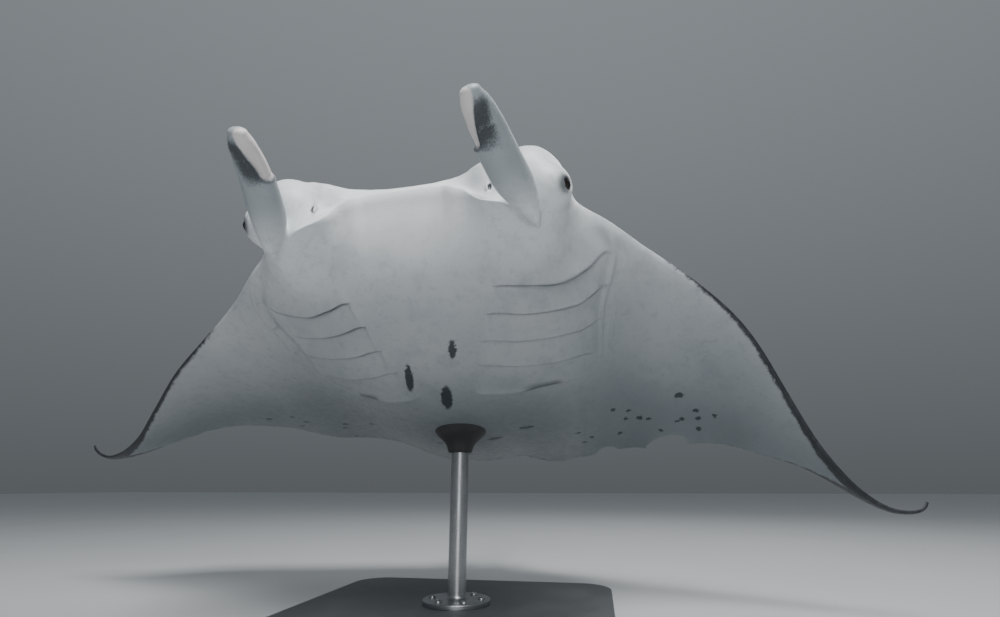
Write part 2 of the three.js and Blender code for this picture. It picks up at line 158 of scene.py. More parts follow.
r = floor_reach
floor = mesh_object("floor", [(-r, -r, 0), (r, -r, 0), (r, r, 0), (-r, r, 0)], [(0, 1, 2, 3)])
floor.data.materials.append(floor_finish())

for name, lamp in lamps.items():
    light = bpy.data.lights.new(name, "AREA")
    light.size = lamp["size"]
    light.energy = lamp["watts"]
    holder = bpy.data.objects.new(name, light)
    holder.location = lamp["at"]
    aim = Vector(lamp["aim"]) - Vector(lamp["at"])
    holder.rotation_euler = aim.to_track_quat("-Z", "Y").to_euler()
    bpy.context.scene.collection.objects.link(holder)

surround = bpy.data.worlds.new("surround")
surround.use_nodes = True
nodes, links = surround.node_tree.nodes, surround.node_tree.links
glow = nodes["Background"]
glow.inputs[0].default_value = (*surround_colour, 1)
direction = nodes.new("ShaderNodeTexCoord")
upwards = nodes.new("ShaderNodeSeparateXYZ")
strength = nodes.new("ShaderNodeMapRange")
strength.inputs[2].default_value = 0.9
strength.inputs[3].default_value = horizon_strength
strength.inputs[4].default_value = overhead_strength
links.new(direction.outputs["Generated"], upwards.inputs[0])
links.new(upwards.outputs[2], strength.inputs[0])
links.new(strength.outputs[0], glow.inputs[1])
bpy.context.scene.world = surround


# ---- Disc: head, trunk and wings ----
# One smooth body shaped like a thick airfoil, bent along each wing and twisted
# about its leading edge. Sizes are millimetres in the ray's own frame:
# x across to its left, y from snout to tail, z from belly to back.
half_span = 1650
wing_start = 389
edge_half = 1.5
snout_height = 1150
snout_forward = 770
nose_up = 25
left_up = 3.65
rear_sag = 0.0000788
rear_sag_start = 660
bend_stations = [0, 130, 330, 594, 858, 1122, 1386, 1584, half_span]
wing_bends = {
    1: {
        "slope": [0, 0, 17, -10, -31, -57, -48, -1, 59],
        "twist": [0, 0, -6, -13, -18, -17, 1, 15, 18],
    },
    -1: {
        "slope": [0, 0, 3, -10, -11, -15, -2, 28, 52],
        "twist": [0, 0, 1, 2, 8, 15, 16, 10, 6],
    },
}
bites = [
    {"centre": 830, "half_width": 100, "depth": 58},
    {"centre": 655, "half_width": 80, "depth": 24},
    {"centre": 520, "half_width": 75, "depth": 50},
]
bite_reach = 0.8


def curve(points):
    """A smooth line through (x, y) points that never overshoots them, level at the first."""
    xs, ys = np.array(points, float).T
    steps = np.diff(ys) / np.diff(xs)
    before, after = steps[:-1], steps[1:]
    agree = before * after > 0
    total = np.where(agree, before + after, 1)
    inner = np.where(agree, 2 * before * after / total, 0)
    slopes = np.concatenate([[0], inner, steps[-1:]])

    def at(x):
        x = np.clip(np.asarray(x, float), xs[0], xs[-1])
        i = np.clip(np.searchsorted(xs, x, side="right") - 1, 0, len(xs) - 2)
        width = xs[i + 1] - xs[i]
        t = (x - xs[i]) / width
        rise = (ys[i + 1] - ys[i]) * t * t * (3 - 2 * t)
        return ys[i] + rise + slopes[i] * t * (1 - t) ** 2 * width + slopes[i + 1] * t * t * (t - 1) * width

    return at


def ease(x, low, high):
    t = np.clip((x - low) / (high - low), 0, 1)
    return t * t * (3 - 2 * t)


def hump(x, width):
    return np.exp(-0.5 * (x / width) ** 2)


front_line = curve([
    (0, 72), (120, 76), (240, 96), (320, 124), (wing_start, 168), (528, 276), (660, 395),
    (825, 511), (990, 627), (1155, 770), (1320, 912), (1452, 988), (1551, 1019), (half_span, 1024),
])
rear_line = curve([
    (0, 1462), (80, 1460), (148, 1445), (231, 1419), (wing_start, 1328), (528, 1275), (660, 1237),
    (825, 1170), (990, 1118), (1155, 1055), (1320, 1027), (1452, 1034), (1551, 1047), (half_span, 1030),
])
back_height = curve([
    (0, 140), (130, 138), (260, 126), (wing_start, 104), (528, 78), (660, 54), (825, 36),
    (990, 25), (1155, 17), (1320, 10), (1452, 6), (1551, 4), (half_span, 2.5),
])
belly_depth = curve([
    (0, 236), (130, 226), (260, 192), (wing_start, 150), (528, 106), (660, 62), (825, 31),
    (990, 21), (1155, 14), (1320, 8.5), (1452, 5), (1551, 4), (half_span, 2.5),
])

# The blunt front of the head: how far its upper edge and the lower lip lie from
# where the plain disc would put them, back and up, by distance from the midline.
upper_edge_back = curve([
    (0, 36), (60, 35), (106, 32), (133, 26), (173, 2), (199, -21), (230, -36), (270, -34), (320, -12),
    (wing_start, 0),
])
upper_edge_up = curve([
    (0, 62), (60, 64), (106, 70), (133, 70), (173, 54), (199, 43), (225, 44), (250, 56), (280, 68),
    (330, 66), (400, 24), (480, 0),
])
lower_lip_back = curve([
    (0, -6), (106, -10), (136, -18), (167, -14), (185, -14), (204, -22), (224, -30), (260, -32),
    (300, -26), (350, -10), (400, 0),
])
lower_lip_up = curve([
    (0, 17), (60, 16), (106, 11), (136, -3), (167, -15), (185, -33), (204, -65), (224, -95), (250, -105),
    (285, -109), (320, -106), (350, -95), (400, -55), (460, -14), (530, 0),
])
chin_up = curve([
    (0, 17), (60, 14), (110, 4), (160, -16), (224, -54), (285, -90), (330, -94), (360, -82), (400, -54),
    (460, -18), (540, 0),
])
brow_settles = 130
lip_settles = 32
chin_settles = 105
pocket_depth = curve([(0, 10), (120, 14), (190, 24), (240, 16), (300, 4), (wing_start, 0)])
mouth_slit = curve([(0, 16), (170, 16), (225, 9), (238, 0), (wing_start, 0)])

wing_step = 5
bend_marks = np.arange(0, half_span + wing_step, wing_step)
for bend in wing_bends.values():
    bend["slope"] = curve(list(zip(bend_stations, bend["slope"])))
    bend["twist"] = curve(list(zip(bend_stations, bend["twist"])))
    middle = np.radians(bend["slope"](bend_marks[:-1] + wing_step / 2))
    bend["out"] = np.concatenate([[0], np.cumsum(wing_step * np.cos(middle))])
    bend["rise"] = np.concatenate([[0], np.cumsum(wing_step * np.sin(middle))])


def posed(side, across, along, height):
    """Takes points of the flat disc, at a height off its middle plane, to their place in the pose."""
    bend = wing_bends[side]
    slope = np.radians(bend["slope"](across))
    twist = np.radians(bend["twist"](across))
    hinge = front_line(np.maximum(across, wing_start))
    behind = along - hinge
    back = behind * np.cos(twist) - height * np.sin(twist)
    lift = behind * np.sin(twist) + height * np.cos(twist)
    sag = rear_sag * np.maximum(0, along - rear_sag_start) ** 2
    x = side * (np.interp(across, bend_marks, bend["out"]) - lift * np.sin(slope))
    z = np.interp(across, bend_marks, bend["rise"]) + lift * np.cos(slope) - sag
    return np.stack([x, hinge + back, z], -1)


def crown(s, front, back):
    crest = front / (front + back)
    return (s / crest) ** front * ((1 - s) / (1 - crest)) ** back


def thickness(across, s, is_back):
    wingness = ease(across, 250, 600)
    if is_back:
        most, nose = back_height(across), 12
        trunk, wing = crown(s, 0.62, 0.9), crown(s, 0.5, 1)
    else:
        most, nose = belly_depth(across), 22
        trunk, wing = crown(s, 0.95, 1.15), crown(s, 0.6, 1)
    round_nose = np.sqrt(1 - (1 - np.minimum(1, s / 0.06)) ** 2) * np.maximum(0, 1 - 1.5 * s)
    shape = most * (trunk + (wing - trunk) * wingness)
    return shape + nose * (1 - wingness) * round_nose + edge_half * np.minimum(1, s / 0.01)


def bitten_share(side, across):
    """How much of the chord is left where healed bites have shortened the trailing edge."""
    left = np.zeros_like(across)
    if side > 0:
        for bite in bites:
            off = np.minimum(1, np.abs(across - bite["centre"]) / bite["half_width"])
            left = np.maximum(left, bite["depth"] * np.sqrt(1 - off * off))
    return 1 - left / (rear_line(across) - front_line(across))


# Lines that run across the belly: the lower lip's edge, then the five gill slits.
# Each is [distance from the midline, distance from the snout].
plan_edge = 600
lip_gap = 6
face_rows = np.array([
    0.05, 0.11, 0.18, 0.26, 0.34, 0.42, 0.5, 0.58, 0.66, 0.73, 0.79, 0.84, 0.88, 0.91, 0.94, 0.97, 1,
])
gills = [
    {
        "span": (206, 556),
        "line": [(0, 300), (208, 318), (270, 345), (360, 377), (472, 388), (550, 372), (600, 400)],
    },
    {
        "span": (178, 560),
        "line": [(0, 375), (180, 389), (248, 418), (330, 447), (440, 471), (555, 468), (600, 480)],
    },
    {
        "span": (157, 514),
        "line": [(0, 455), (159, 472), (235, 503), (320, 532), (410, 558), (512, 570), (600, 580)],
    },
    {
        "span": (134, 458),
        "line": [(0, 540), (136, 558), (220, 592), (300, 625), (390, 652), (450, 672), (600, 700)],
    },
    {
        "span": (98, 345),
        "line": [(0, 665), (100, 680), (175, 697), (245, 710), (330, 738), (600, 800)],
    },
]
for gill in gills:
    gill["at"] = curve(gill["line"])

# Stations across the body: closest where the head and gill flaps turn, wider along the wings
head_stations = np.concatenate([
    np.arange(0, 170, 9), np.arange(170, 250, 5), np.arange(250, 460, 5.5), np.arange(460, 650, 5),
])
wing_joint = head_stations[-1]
outer_wing = np.concatenate([np.arange(1180, half_span, 9), [half_span]])
plain_wing = np.concatenate([np.arange(wing_joint + 10, 1180, 12), outer_wing])
bitten_wing = np.concatenate([np.arange(wing_joint + 4, 940, 4.5), np.arange(946, 1180, 12), outer_wing])


def belly_rows(across):
    """Shares of the chord at which the belly's rows run, so that rows follow the lip and gill slits."""
    plan = np.minimum(across, plan_edge)
    front = front_line(plan)
    chord = rear_line(plan) - front
    lip = lip_gap / chord
    slits = [(gill["at"](plan) - front) / chord for gill in gills]
    near = np.array([-14, -9, -5.5, -3, -1.2, 0, 1.2, 2.6, 4.5, 8, 13])
    rows = [lip * t * t for t in face_rows]
    begin = lip
    for slit in slits:
        first = slit + near[0] / chord
        count = 20 if slit is slits[0] else 4
        spread = 1.7 if slit is slits[0] else 1
        rows += [begin + (first - begin) * (t / (count + 1)) ** spread for t in range(1, count + 1)]
        rows += [slit + n / chord for n in near]
        begin = rows[-1]
    rows += [begin + (1 - begin) * t for t in np.linspace(0, 1, 31)[1:-3]]
    rows += [begin + (1 - begin) * t for t in (0.94, 0.965, 0.985, 1)]
    return np.array(rows).T


def back_rows(across):
    count = 40
    shares = (1 - np.cos(np.pi * np.arange(count + 1) / count)) / 2
    return np.repeat(shares[None, ::-1], len(across), 0)


def disc_block(side, stations):
    """Rings of the disc at these stations, from the trailing edge over the back to the belly."""
    across = stations[:, None]
    front, rear = front_line(across), rear_line(across)
    squeeze = (bitten_share(side, across) - bite_reach) / (1 - bite_reach)
    upper = np.stack([0 * across, upper_edge_back(across), upper_edge_up(across)], -1)
    lower = np.stack([0 * across, lower_lip_back(across), lower_lip_up(across)], -1)
    points, plans = [], []
    for is_back, whole in ((True, back_rows(stations)), (False, belly_rows(stations))):
        s = np.where(whole < bite_reach, whole, bite_reach + (whole - bite_reach) * squeeze)
        along = front + (rear - front) * s
        gap = along - front
        height = thickness(across, s, is_back) * (1 if is_back else -1)
        base = posed(side, across + 0 * s, along, height)
        if is_back:
            base += upper * (1 - ease(gap, 0, brow_settles))[..., None]
        else:
            rows = len(face_rows)
            down = face_rows[None, :, None]
            base[:, :rows] += upper * (1 - down) + lower * down
            behind = (lip_gap - gap[:, rows:])[..., None]
            chin = np.stack([0 * across, lower_lip_back(across), chin_up(across)], -1)
            base[:, rows:] += chin * np.exp(behind / chin_settles)
            base[:, rows:] += (lower - chin) * np.exp(behind / lip_settles)
            pocket = pocket_depth(across) * 4 * face_rows * (1 - face_rows)
            slit = mouth_slit(across) * hump(face_rows - 0.91, 0.02)
            base[:, :rows, 1] += pocket + slit
        points.append(base)
        edge = (rear - front) * np.minimum(s, np.maximum(0, bitten_share(side, across) - s))
        plans.append(np.stack([side * across + 0 * s, along, edge if is_back else -edge], -1))
    return np.concatenate(points, 1), np.concatenate(plans, 1)


right_head = disc_block(-1, head_stations[:0:-1])
left_head = disc_block(1, head_stations)
head_points = np.concatenate([right_head[0], left_head[0]])
head_plan = np.concatenate([right_head[1], left_head[1]])
ring_size = head_points.shape[1]
back_count = back_rows(head_stations[:1]).shape[1]


# ---- Cheeks and brows ----
# The sides of the head swell out of the disc to carry the eyes and the
# cephalic fins, and blend into it with no edge.
eye = {"centre": (425, 93, -42), "radius": 20}
gaze = np.array((0.88, -0.30, -0.36)) / math.hypot(0.88, 0.30, 0.36)
cheek = {"centre": (338, 182, 26), "radii": (112, 164, 121), "blend": 0.5}
brow = {"centre": (260, 285, 36), "radii": (185, 205, 64), "blend": 0.3}
eye_mound = {"centre": (386, 110, -28), "radii": (64, 66, 60), "blend": 0.4}


def swell(points, side, centre, radii, blend):
    """Pushes points that lie inside an oval lump out to its surface, smoothly round its edge."""
    middle = np.array(centre) * (side, 1, 1)
    offset = points - middle
    reach = np.linalg.norm(offset / radii, axis=-1)
    soft = np.maximum(0, blend - np.abs(reach - 1)) / blend
    wanted = np.maximum(reach, 1) + soft * soft * blend / 4
    return middle + offset * (wanted / np.maximum(reach, 1e-6))[..., None]


for lump in (cheek, brow):
    for side in (-1, 1):
        own = head_plan[..., 0] * side > 0
        head_points[own] = swell(head_points[own], side, **lump)


def relax(points, share, rounds):
    """Evens out a grid of points, by a share of the way to their neighbours' middle."""
    for _ in range(rounds):
        middle = points.copy()
        middle[1:-1] = (points[:-2] + points[2:]) / 2
        round_ring = (np.roll(points, 1, 1) + np.roll(points, -1, 1)) / 2
        middle = (middle + round_ring) / 2
        points = points + share[..., None] * (middle - points)
    return points


head_across = np.abs(head_plan[..., 0])
head_along = head_plan[..., 1]
near_cheek = ease(head_across, 235, 265) * (1 - ease(head_across, 520, 600))
near_cheek = near_cheek * (1 - ease(head_along, 330, 460))
head_points = relax(head_points, 0.5 * near_cheek, 6)


# ---- Lips, gill slits and folds ----
# The lower lip stands below a hollow that narrows to nothing at the middle of
# the mouth. Each gill slit is a thin flap whose rear edge overlaps the next,
# and a fold with fine pleats marks where each wing begins.
lip_roll = 5
slit_depth = 8
flap_swell = 12
step_down = 9
flap_border = curve([(250, 226), (318, 208), (389, 180), (472, 158), (558, 134), (680, 98), (760, 80)])
flap_edge = 5
fold_line = curve([
    (250, 552), (300, 556), (395, 578), (440, 567), (530, 532), (640, 512), (750, 500), (900, 470),
])
fold_span = (215, 780)

# By side of the body: 1 is the ray's left, -1 its right
fold_strength = {1: 0.75, -1: 1.6}
# How strong the painted shade in the gill slits is on each side: weaker on the ray's left, which faces the
# light.
slit_shade_by_side = {1: 0.45, -1: 1}


def outward(points):
    normal = -np.cross(np.gradient(points, axis=0), np.gradient(points, axis=1))
    return normal / np.maximum(np.linalg.norm(normal, axis=-1), 1e-9)[..., None]


def lip_relief(across, along):
    behind = along - front_line(across) - lip_gap
    roll = np.where(behind > 0, hump(behind - 9, 10), 0) * (1 - ease(across, 200, 240))
    return lip_roll * roll


def gill_relief(across, along):
    """Height of the gill flaps over the plain belly, and how much painted shade lies in their slits."""
    relief = np.zeros_like(across)
    dark = np.zeros_like(across)
    ahead = gills[0]["at"](across) - 60
    for gill in gills:
        start, end = gill["span"]
        line = gill["at"](across)
        behind = along - line
        inner = ease(across, start - 10, start + 14)
        reach = inner * (1 - ease(across, end - 75, end + 8))
        flat_end = inner * (1 - 0.85 * ease(across, start + 150, end + 10))
        flat_end = flat_end * (1 - ease(across, end, end + 20))
        rise = np.clip((along - ahead) / (line - ahead), 0, 1) ** 1.6
        flap = np.where(behind < 0, rise, 0) * flap_swell
        step = np.where(behind >= 0, -np.exp(-behind / 16), 0) * step_down
        relief += flat_end * (flap + step) - reach * slit_depth * hump(behind - 1.2, 2.1)
        # Painted shade: a dark line along each slit, where the flap overhangs it.
        dark = np.maximum(dark, reach * hump(behind + 0.8, 1.9))
        ahead = line
    return relief, dark


def border_relief(across, along):
    """A soft step down where the gill flaps begin, along the line that joins their inner ends."""
    outside = across - flap_border(along)
    span = ease(along, 290, 330) * (1 - ease(along, 650, 720))
    step = -ease(outside, -3, 6) * (1 - ease(outside, 25, 90))
    return span * flap_edge * (step + 0.45 * hump(outside + 5, 5))


def last_slit_relief(across, along):
    """The last pair of slits gapes at its outer end, beside a raised crest."""
    behind = along - gills[-1]["at"](across)
    gape = ease(across, 208, 240) * (1 - ease(across, 285, 312))
    opening = -9 * gape * hump(behind - 4, 5)
    crest = 7 * hump(behind + 8, 9) * ease(across, 70, 120) * (1 - ease(across, 215, 262))
    return opening + crest, gape * ease(behind, -19, -12) * (1 - ease(behind, 2, 6))


def fold_relief(across, along):
    low, high = fold_span
    taper = ease(along, low, low + 70) * (1 - ease(along, high - 260, high))
    taper = taper * ease(along - front_line(across), 8, 48)
    outside = across - fold_line(along)
    ridge = 10 * hump(outside, 6)
    hollow = -12 * hump(outside + 16, 22) - 5 * hump(outside - 16, 13)
    pleats = 1.1 * np.sin(2 * np.pi * outside / 17) * ease(outside, 6, 22) * (1 - ease(outside, 50, 96))
    return taper * (ridge + hollow + pleats)


on_belly = np.zeros(head_points.shape[:2], bool)
on_belly[:, back_count:] = True
gill_height, gill_dark = gill_relief(head_across, head_along)
last_height, last_dark = last_slit_relief(head_across, head_along)
on_left = head_plan[..., 0] > 0
fold_height = fold_relief(head_across, head_along) * np.where(on_left, fold_strength[1], fold_strength[-1])
relief = np.where(
    on_belly,
    lip_relief(head_across, head_along) + gill_height + last_height
    + border_relief(head_across, head_along) + fold_height,
    0,
)
# Painted shade in the slits, weaker on the ray's left.
gill_dark = gill_dark * np.where(on_left, slit_shade_by_side[1], slit_shade_by_side[-1])
head_normals = outward(head_points)
head_points = head_points + head_normals * relief[..., None]
head_dark = np.where(on_belly, np.maximum(gill_dark, last_dark), 0)


# ---- Joining the wings to the head's rings ----
# The wings need fewer rows than the gills, so they keep only some of them.
def sparse_rows():
    _, plan = disc_block(1, np.array([wing_joint]))
    along, edge = plan[0, :, 1], plan[0, :, 2]
    kept = [0]
    for i in range(1, ring_size - 1):
        turned = (edge[i] <= 0) != (edge[kept[-1]] <= 0)
        apart = abs(along[i] - along[kept[-1]])
        close_to_edge = min(abs(edge[i]), abs(edge[kept[-1]])) < 14
        if turned or apart > (2.5 if close_to_edge else 12):
            kept.append(i)
    return kept + [ring_size - 1]


wing_rows = sparse_rows()
points, faces, plans, darks = [], [], [], []


def add_block(block, plan, dark):
    first = sum(len(p) for p in points)
    points.append(block.reshape(-1, 3))
    plans.append(plan.reshape(-1, 3))
    darks.append(dark.reshape(-1))
    size = block.shape[1]
    for c in range(block.shape[0] - 1):
        for k in range(size):
            n = (k + 1) % size
            a, b = first + c * size + k, first + c * size + n
            faces.append((a, b, b + size, a + size))
    return first


def close_end(first, size, flip):
    ring = list(range(first, first + size))
    for k in range((size - 1) // 2):
        a, b = ring[k], ring[k + 1]
        c, d = ring[size - 2 - k], ring[size - 1 - k]
        face = (a, b, c, d) if b != c else (a, b, d)
        faces.append(face[::-1] if flip else face)


head_first = add_block(head_points, head_plan, head_dark)
last_head = head_first + (head_points.shape[0] - 1) * ring_size
for side, stations in ((-1, plain_wing[::-1]), (1, bitten_wing)):
    block, plan = disc_block(side, stations)
    block, plan = block[:, wing_rows], plan[:, wing_rows]
    size = len(wing_rows)
    first = add_block(block, plan, np.zeros(block.shape[:2]))
    last = first + (len(stations) - 1) * size
    head_ring, wing_ring = (last_head, first) if side > 0 else (head_first, last)
    for k in range(size):
        n = (k + 1) % size
        stop = wing_rows[n] if n else ring_size
        between = [head_ring + i % ring_size for i in range(wing_rows[k], stop + 1)]
        face = between + [wing_ring + n, wing_ring + k]
        faces.append(tuple(face if side > 0 else face[::-1]))
    close_end(last if side > 0 else first, size, side < 0)

disc_points = np.concatenate(points)
disc_plan = np.concatenate(plans)
disc_dark = np.concatenate(darks)

pitch = Euler((math.radians(-nose_up), 0, 0)).to_matrix()
bank = Euler((0, math.radians(-left_up), 0)).to_matrix()
ray_turn = np.array(pitch @ bank)
snout = np.array((0, -snout_forward, snout_height))


def on_stand(ray_points):
    """From millimetres in the ray's own frame to metres where it stands."""
    return (np.asarray(ray_points) @ ray_turn.T + snout) / 1000


def give(piece, name, values):
    """Writes one value or three per point into a named attribute of the piece's mesh."""
    values = np.asarray(values, np.float32)
    kind, field = ("FLOAT_VECTOR", "vector") if values.ndim > 1 else ("FLOAT", "value")
    attribute = piece.data.attributes.new(name, kind, "POINT")
    attribute.data.foreach_set(field, values.ravel())


def read(mesh, name):
    attribute = mesh.attributes[name]
    width, field = (3, "vector") if attribute.data_type == "FLOAT_VECTOR" else (1, "value")
    values = np.empty(len(mesh.vertices) * width, np.float32)
    attribute.data.foreach_get(field, values)
    return values.reshape(-1, 3) if width == 3 else values


# How far, in millimetres, the dark of the back reaches past the edge (over 0) or
# stays behind it (under 0), by distance from the midline
dark_band = curve([
    (0, -25), (200, -70), (300, -105), (460, -110), (600, -60), (700, -8), (760, 0), (860, 8),
    (1000, 12), (1200, 18), (1350, 30), (1500, 60), (1650, 150),
])


def backness(plan):
    """Distance to the line where the dark back meets the pale belly: over 0 on the dark side."""
    across, along, edge = np.abs(plan[:, 0]), plan[:, 1], plan[:, 2]
    leading = along - front_line(across)
    trailing = rear_line(across) - along
    reach = dark_band(across)
    over_front = np.where(edge > 0, leading + 4, -leading - 0.1) + reach
    over_rear = np.where(edge > 0, trailing + 6, -trailing - 1) + reach * ease(across, 1200, 1500)
    return np.where(leading < trailing, over_front, over_rear)


# A pale patch on each shoulder: sharp in front, where it slants back from the
# spiracle to the midline, and fading to the rear
patch_front = curve([(0, 700), (80, 610), (200, 440), (320, 325), (430, 320), (560, 400), (700, 560)])


def shoulder_share(plan):
    across, along = np.abs(plan[:, 0]), plan[:, 1]
    behind = along - patch_front(across)
    share = ease(behind, -14, 30) * (1 - ease(behind, 60, 430)) * ease(across, 50, 150)
    return np.where(plan[:, 2] > 0, share * (1 - ease(across, 420, 720)), 0)


disc = mesh_object("disc", on_stand(disc_points), faces)
give(disc, "shoulder", shoulder_share(disc_plan))
give(disc, "place", np.stack([disc_plan[:, 0], disc_plan[:, 1], backness(disc_plan)], -1))
give(disc, "marks", np.stack([disc_dark, 0 * disc_dark, 0 * disc_dark], -1))
give(disc, "part", 0 * disc_dark)


# ---- Cheeks again, on a finer mesh ----
# The swelling stretched the mesh over the cheeks. Its long edges are split and
# the new points pushed out in turn, and a low mound rises round each eye.
longest_edge = 0.009
longest_eye_edge = 0.005
eye_reach = 60
cheek_rounds = 14


def points_of(mesh):
    spots = np.empty(len(mesh.vertices) * 3)
    mesh.vertices.foreach_get("co", spots)
    return spots.reshape(-1, 3)


def edges_of(mesh):
    ends = np.empty(len(mesh.edges) * 2, int)
    mesh.edges.foreach_get("vertices", ends)
    return ends.reshape(-1, 2)


def in_ray(spots):
    """The way back: from metres on the stand to millimetres in the ray's own frame."""
    return (np.asarray(spots) * 1000 - snout) @ ray_turn


def mirrored(spots):
    """The same points with those of the ray's right moved over to its left."""
    return spots * np.where(spots[:, :1] < 0, (-1, 1, 1), 1)


def cheek_share(spots):
    across, along = np.abs(spots[:, 0]), spots[:, 1]
    return ease(across, 262, 300) * (1 - ease(across, 490, 540)) * (1 - ease(along, 280, 400))


def split_long_edges(mesh):
    net = bmesh.new()
    net.from_mesh(mesh)
    for _ in range(3):
        spots = in_ray([vertex.co for vertex in net.verts])
        share = cheek_share(spots)
        at_eye = np.linalg.norm(mirrored(spots) - eye["centre"], axis=-1) < eye_reach
        net.verts.index_update()
        long = [
            edge for edge in net.edges
            if max(share[v.index] for v in edge.verts) > 0.02
            and edge.calc_length() > (longest_eye_edge if at_eye[edge.verts[0].index] else longest_edge)
        ]
        bmesh.ops.subdivide_edges(net, edges=long, cuts=1, use_grid_fill=True)
        bmesh.ops.triangulate(net, faces=[face for face in net.faces if len(face.verts) > 4])
    net.to_mesh(mesh)
    net.free()


def settle_points(spots, ends, weight, rounds, share=0.6):
    """Moves points towards their neighbours' middle, each by its own weight."""
    near = weight > 0
    used = near[ends].any(1)
    pairs = np.concatenate([ends[used], ends[used][:, ::-1]])
    degree = np.maximum(np.bincount(pairs[:, 0], minlength=len(spots)), 1)
    for _ in range(rounds):
        total = np.stack([np.bincount(pairs[:, 0], spots[pairs[:, 1], k], len(spots)) for k in range(3)], -1)
        middle = total / degree[:, None]
        spots[near] += share * weight[near, None] * (middle[near] - spots[near])
    return spots


split_long_edges(disc.data)
ends = edges_of(disc.data)
spots = in_ray(points_of(disc.data))
across = read(disc.data, "place")[:, 0]
share = cheek_share(spots)
for lump, blend, rounds in ((cheek, 0.02, 0), (brow, 0.02, cheek_rounds), (eye_mound, eye_mound["blend"], 4)):
    for side in (-1, 1):
        own = (across * side > 0) & (share > 0)
        pushed = swell(spots[own], side, lump["centre"], lump["radii"], blend)
        spots[own] += share[own, None] * (pushed - spots[own])
    spots = settle_points(spots, ends, share, rounds)
disc.data.vertices.foreach_set("co", on_stand(spots).ravel())
disc.data.update()

# The head is dark where its surface leans back more than this share of upright
dark_slope = 0.62


def darken_head(mesh):
    """Carries the dark of the back forward over the head, as far as the head faces up."""
    facing = np.empty(len(mesh.vertices) * 3, np.float32)
    mesh.vertices.foreach_get("normal", facing)
    upward = (facing.reshape(-1, 3) @ ray_turn)[:, 2]
    place = read(mesh, "place")
    across = np.abs(place[:, 0])
    on_top = place[:, 2] - dark_band(across) > 2
    reach = 90 * (upward - dark_slope) - 60 * ease(across, 600, 720)
    place[:, 2] = np.where(on_top, np.maximum(place[:, 2], reach), place[:, 2])
    mesh.attributes["place"].data.foreach_set("vector", place.ravel())


darken_head(disc.data)


# ---- Cephalic fins ----
# Each is a flap rolled into a horn. The roll leaves a pale opening on its inner
# side near the tip, and its base lies in a crease against the cheek.
cephalic_fin = [
    {"at": (348, 158, -100), "across": 8, "high": 22},
    {"at": (337, 96, -110), "across": 29, "high": 39},
    {"at": (305, 0, -122), "across": 47, "high": 36},
    {"at": (276, -110, -131), "across": 44, "high": 29},
    {"at": (260, -188, -146), "across": 35, "high": 23},
    {"at": (254, -219, -149), "across": 23, "high": 16},
]
cephalic_turn = 17
right_reach = 0.95
horn_tip = 13
opening_depth = 8
opening_length = 131
opening_ventral = curve([(0, 78), (25, 94), (50, 110), (80, 122), (115, 130), (150, 136)])
opening_dorsal = curve([(0, 300), (60, 292), (110, 275), (150, 262)])


def soft_least(a, b, width):
    """The lesser of two values, rounded where they cross."""
    share = np.clip(0.5 + 0.5 * (b - a) / width, 0, 1)
    return b + (a - b) * share - width * share * (1 - share)


def limb(stations, t, angles, turn=0):
    """Rings of points at places t along a limb's stations, oval across it, and the way ahead."""
    marks = list(range(len(stations)))
    line = [curve(list(zip(marks, [s["at"][axis] for s in stations]))) for axis in range(3)]
    size = {key: curve(list(zip(marks, [s[key] for s in stations]))) for key in ("across", "high")}

    def place(t):
        return np.stack([axis(t) for axis in line], -1)

    ahead = place(np.minimum(t + 0.05, marks[-1])) - place(np.maximum(t - 0.05, 0))
    ahead /= np.linalg.norm(ahead, axis=-1, keepdims=True)
    level = np.array((1, 0, 0)) - ahead * ahead[:, :1]
    level /= np.linalg.norm(level, axis=-1, keepdims=True)
    lean = math.radians(turn)
    sideways = level * math.cos(lean) + np.cross(ahead, level) * math.sin(lean)
    upright = np.cross(sideways, ahead)
    wide = size["across"](t)[:, None] * np.cos(angles)
    tall = size["high"](t)[:, None] * np.sin(angles)
    rings = place(t)[:, None] + sideways[:, None] * wide[..., None] + upright[:, None] * tall[..., None]
    return rings, ahead


def rounded_end(rings, ahead, reach, steps=6):
    """Adds rings that shrink to a round end past the last one."""
    middle = rings[-1].mean(0)
    turns = np.radians(90) * np.arange(1, steps) / steps
    caps = [middle + (rings[-1] - middle) * math.cos(a) + ahead[-1] * reach * math.sin(a) for a in turns]
    return np.concatenate([rings, caps])


def tube(name, rings, marks, flip=False):
    """A closed body through rings; marks holds three arrays of the rings' shape for its attributes."""
    count = rings.shape[1]
    flat = rings.reshape(-1, 3)
    hubs = np.stack([rings[0].mean(0), rings[-1].mean(0)])
    faces = []
    for i in range(len(rings) - 1):
        for j in range(count):
            a, b = i * count + j, i * count + (j + 1) % count
            faces.append((b, a, a + count, b + count))
    last = len(flat) - count
    for j in range(count):
        k = (j + 1) % count
        faces.append((len(flat), j, k))
        faces.append((len(flat) + 1, last + k, last + j))
    if flip:
        faces = [face[::-1] for face in faces]
    made = mesh_object(name, on_stand(np.concatenate([flat, hubs])), faces)
    for key, values in marks.items():
        values = np.asarray(values, float)
        shape = (-1, 3) if values.ndim > 2 else (-1,)
        ends = np.stack([values[0].mean(0), values[-1].mean(0)])
        give(made, key, np.concatenate([values.reshape(shape), ends]))
    return made


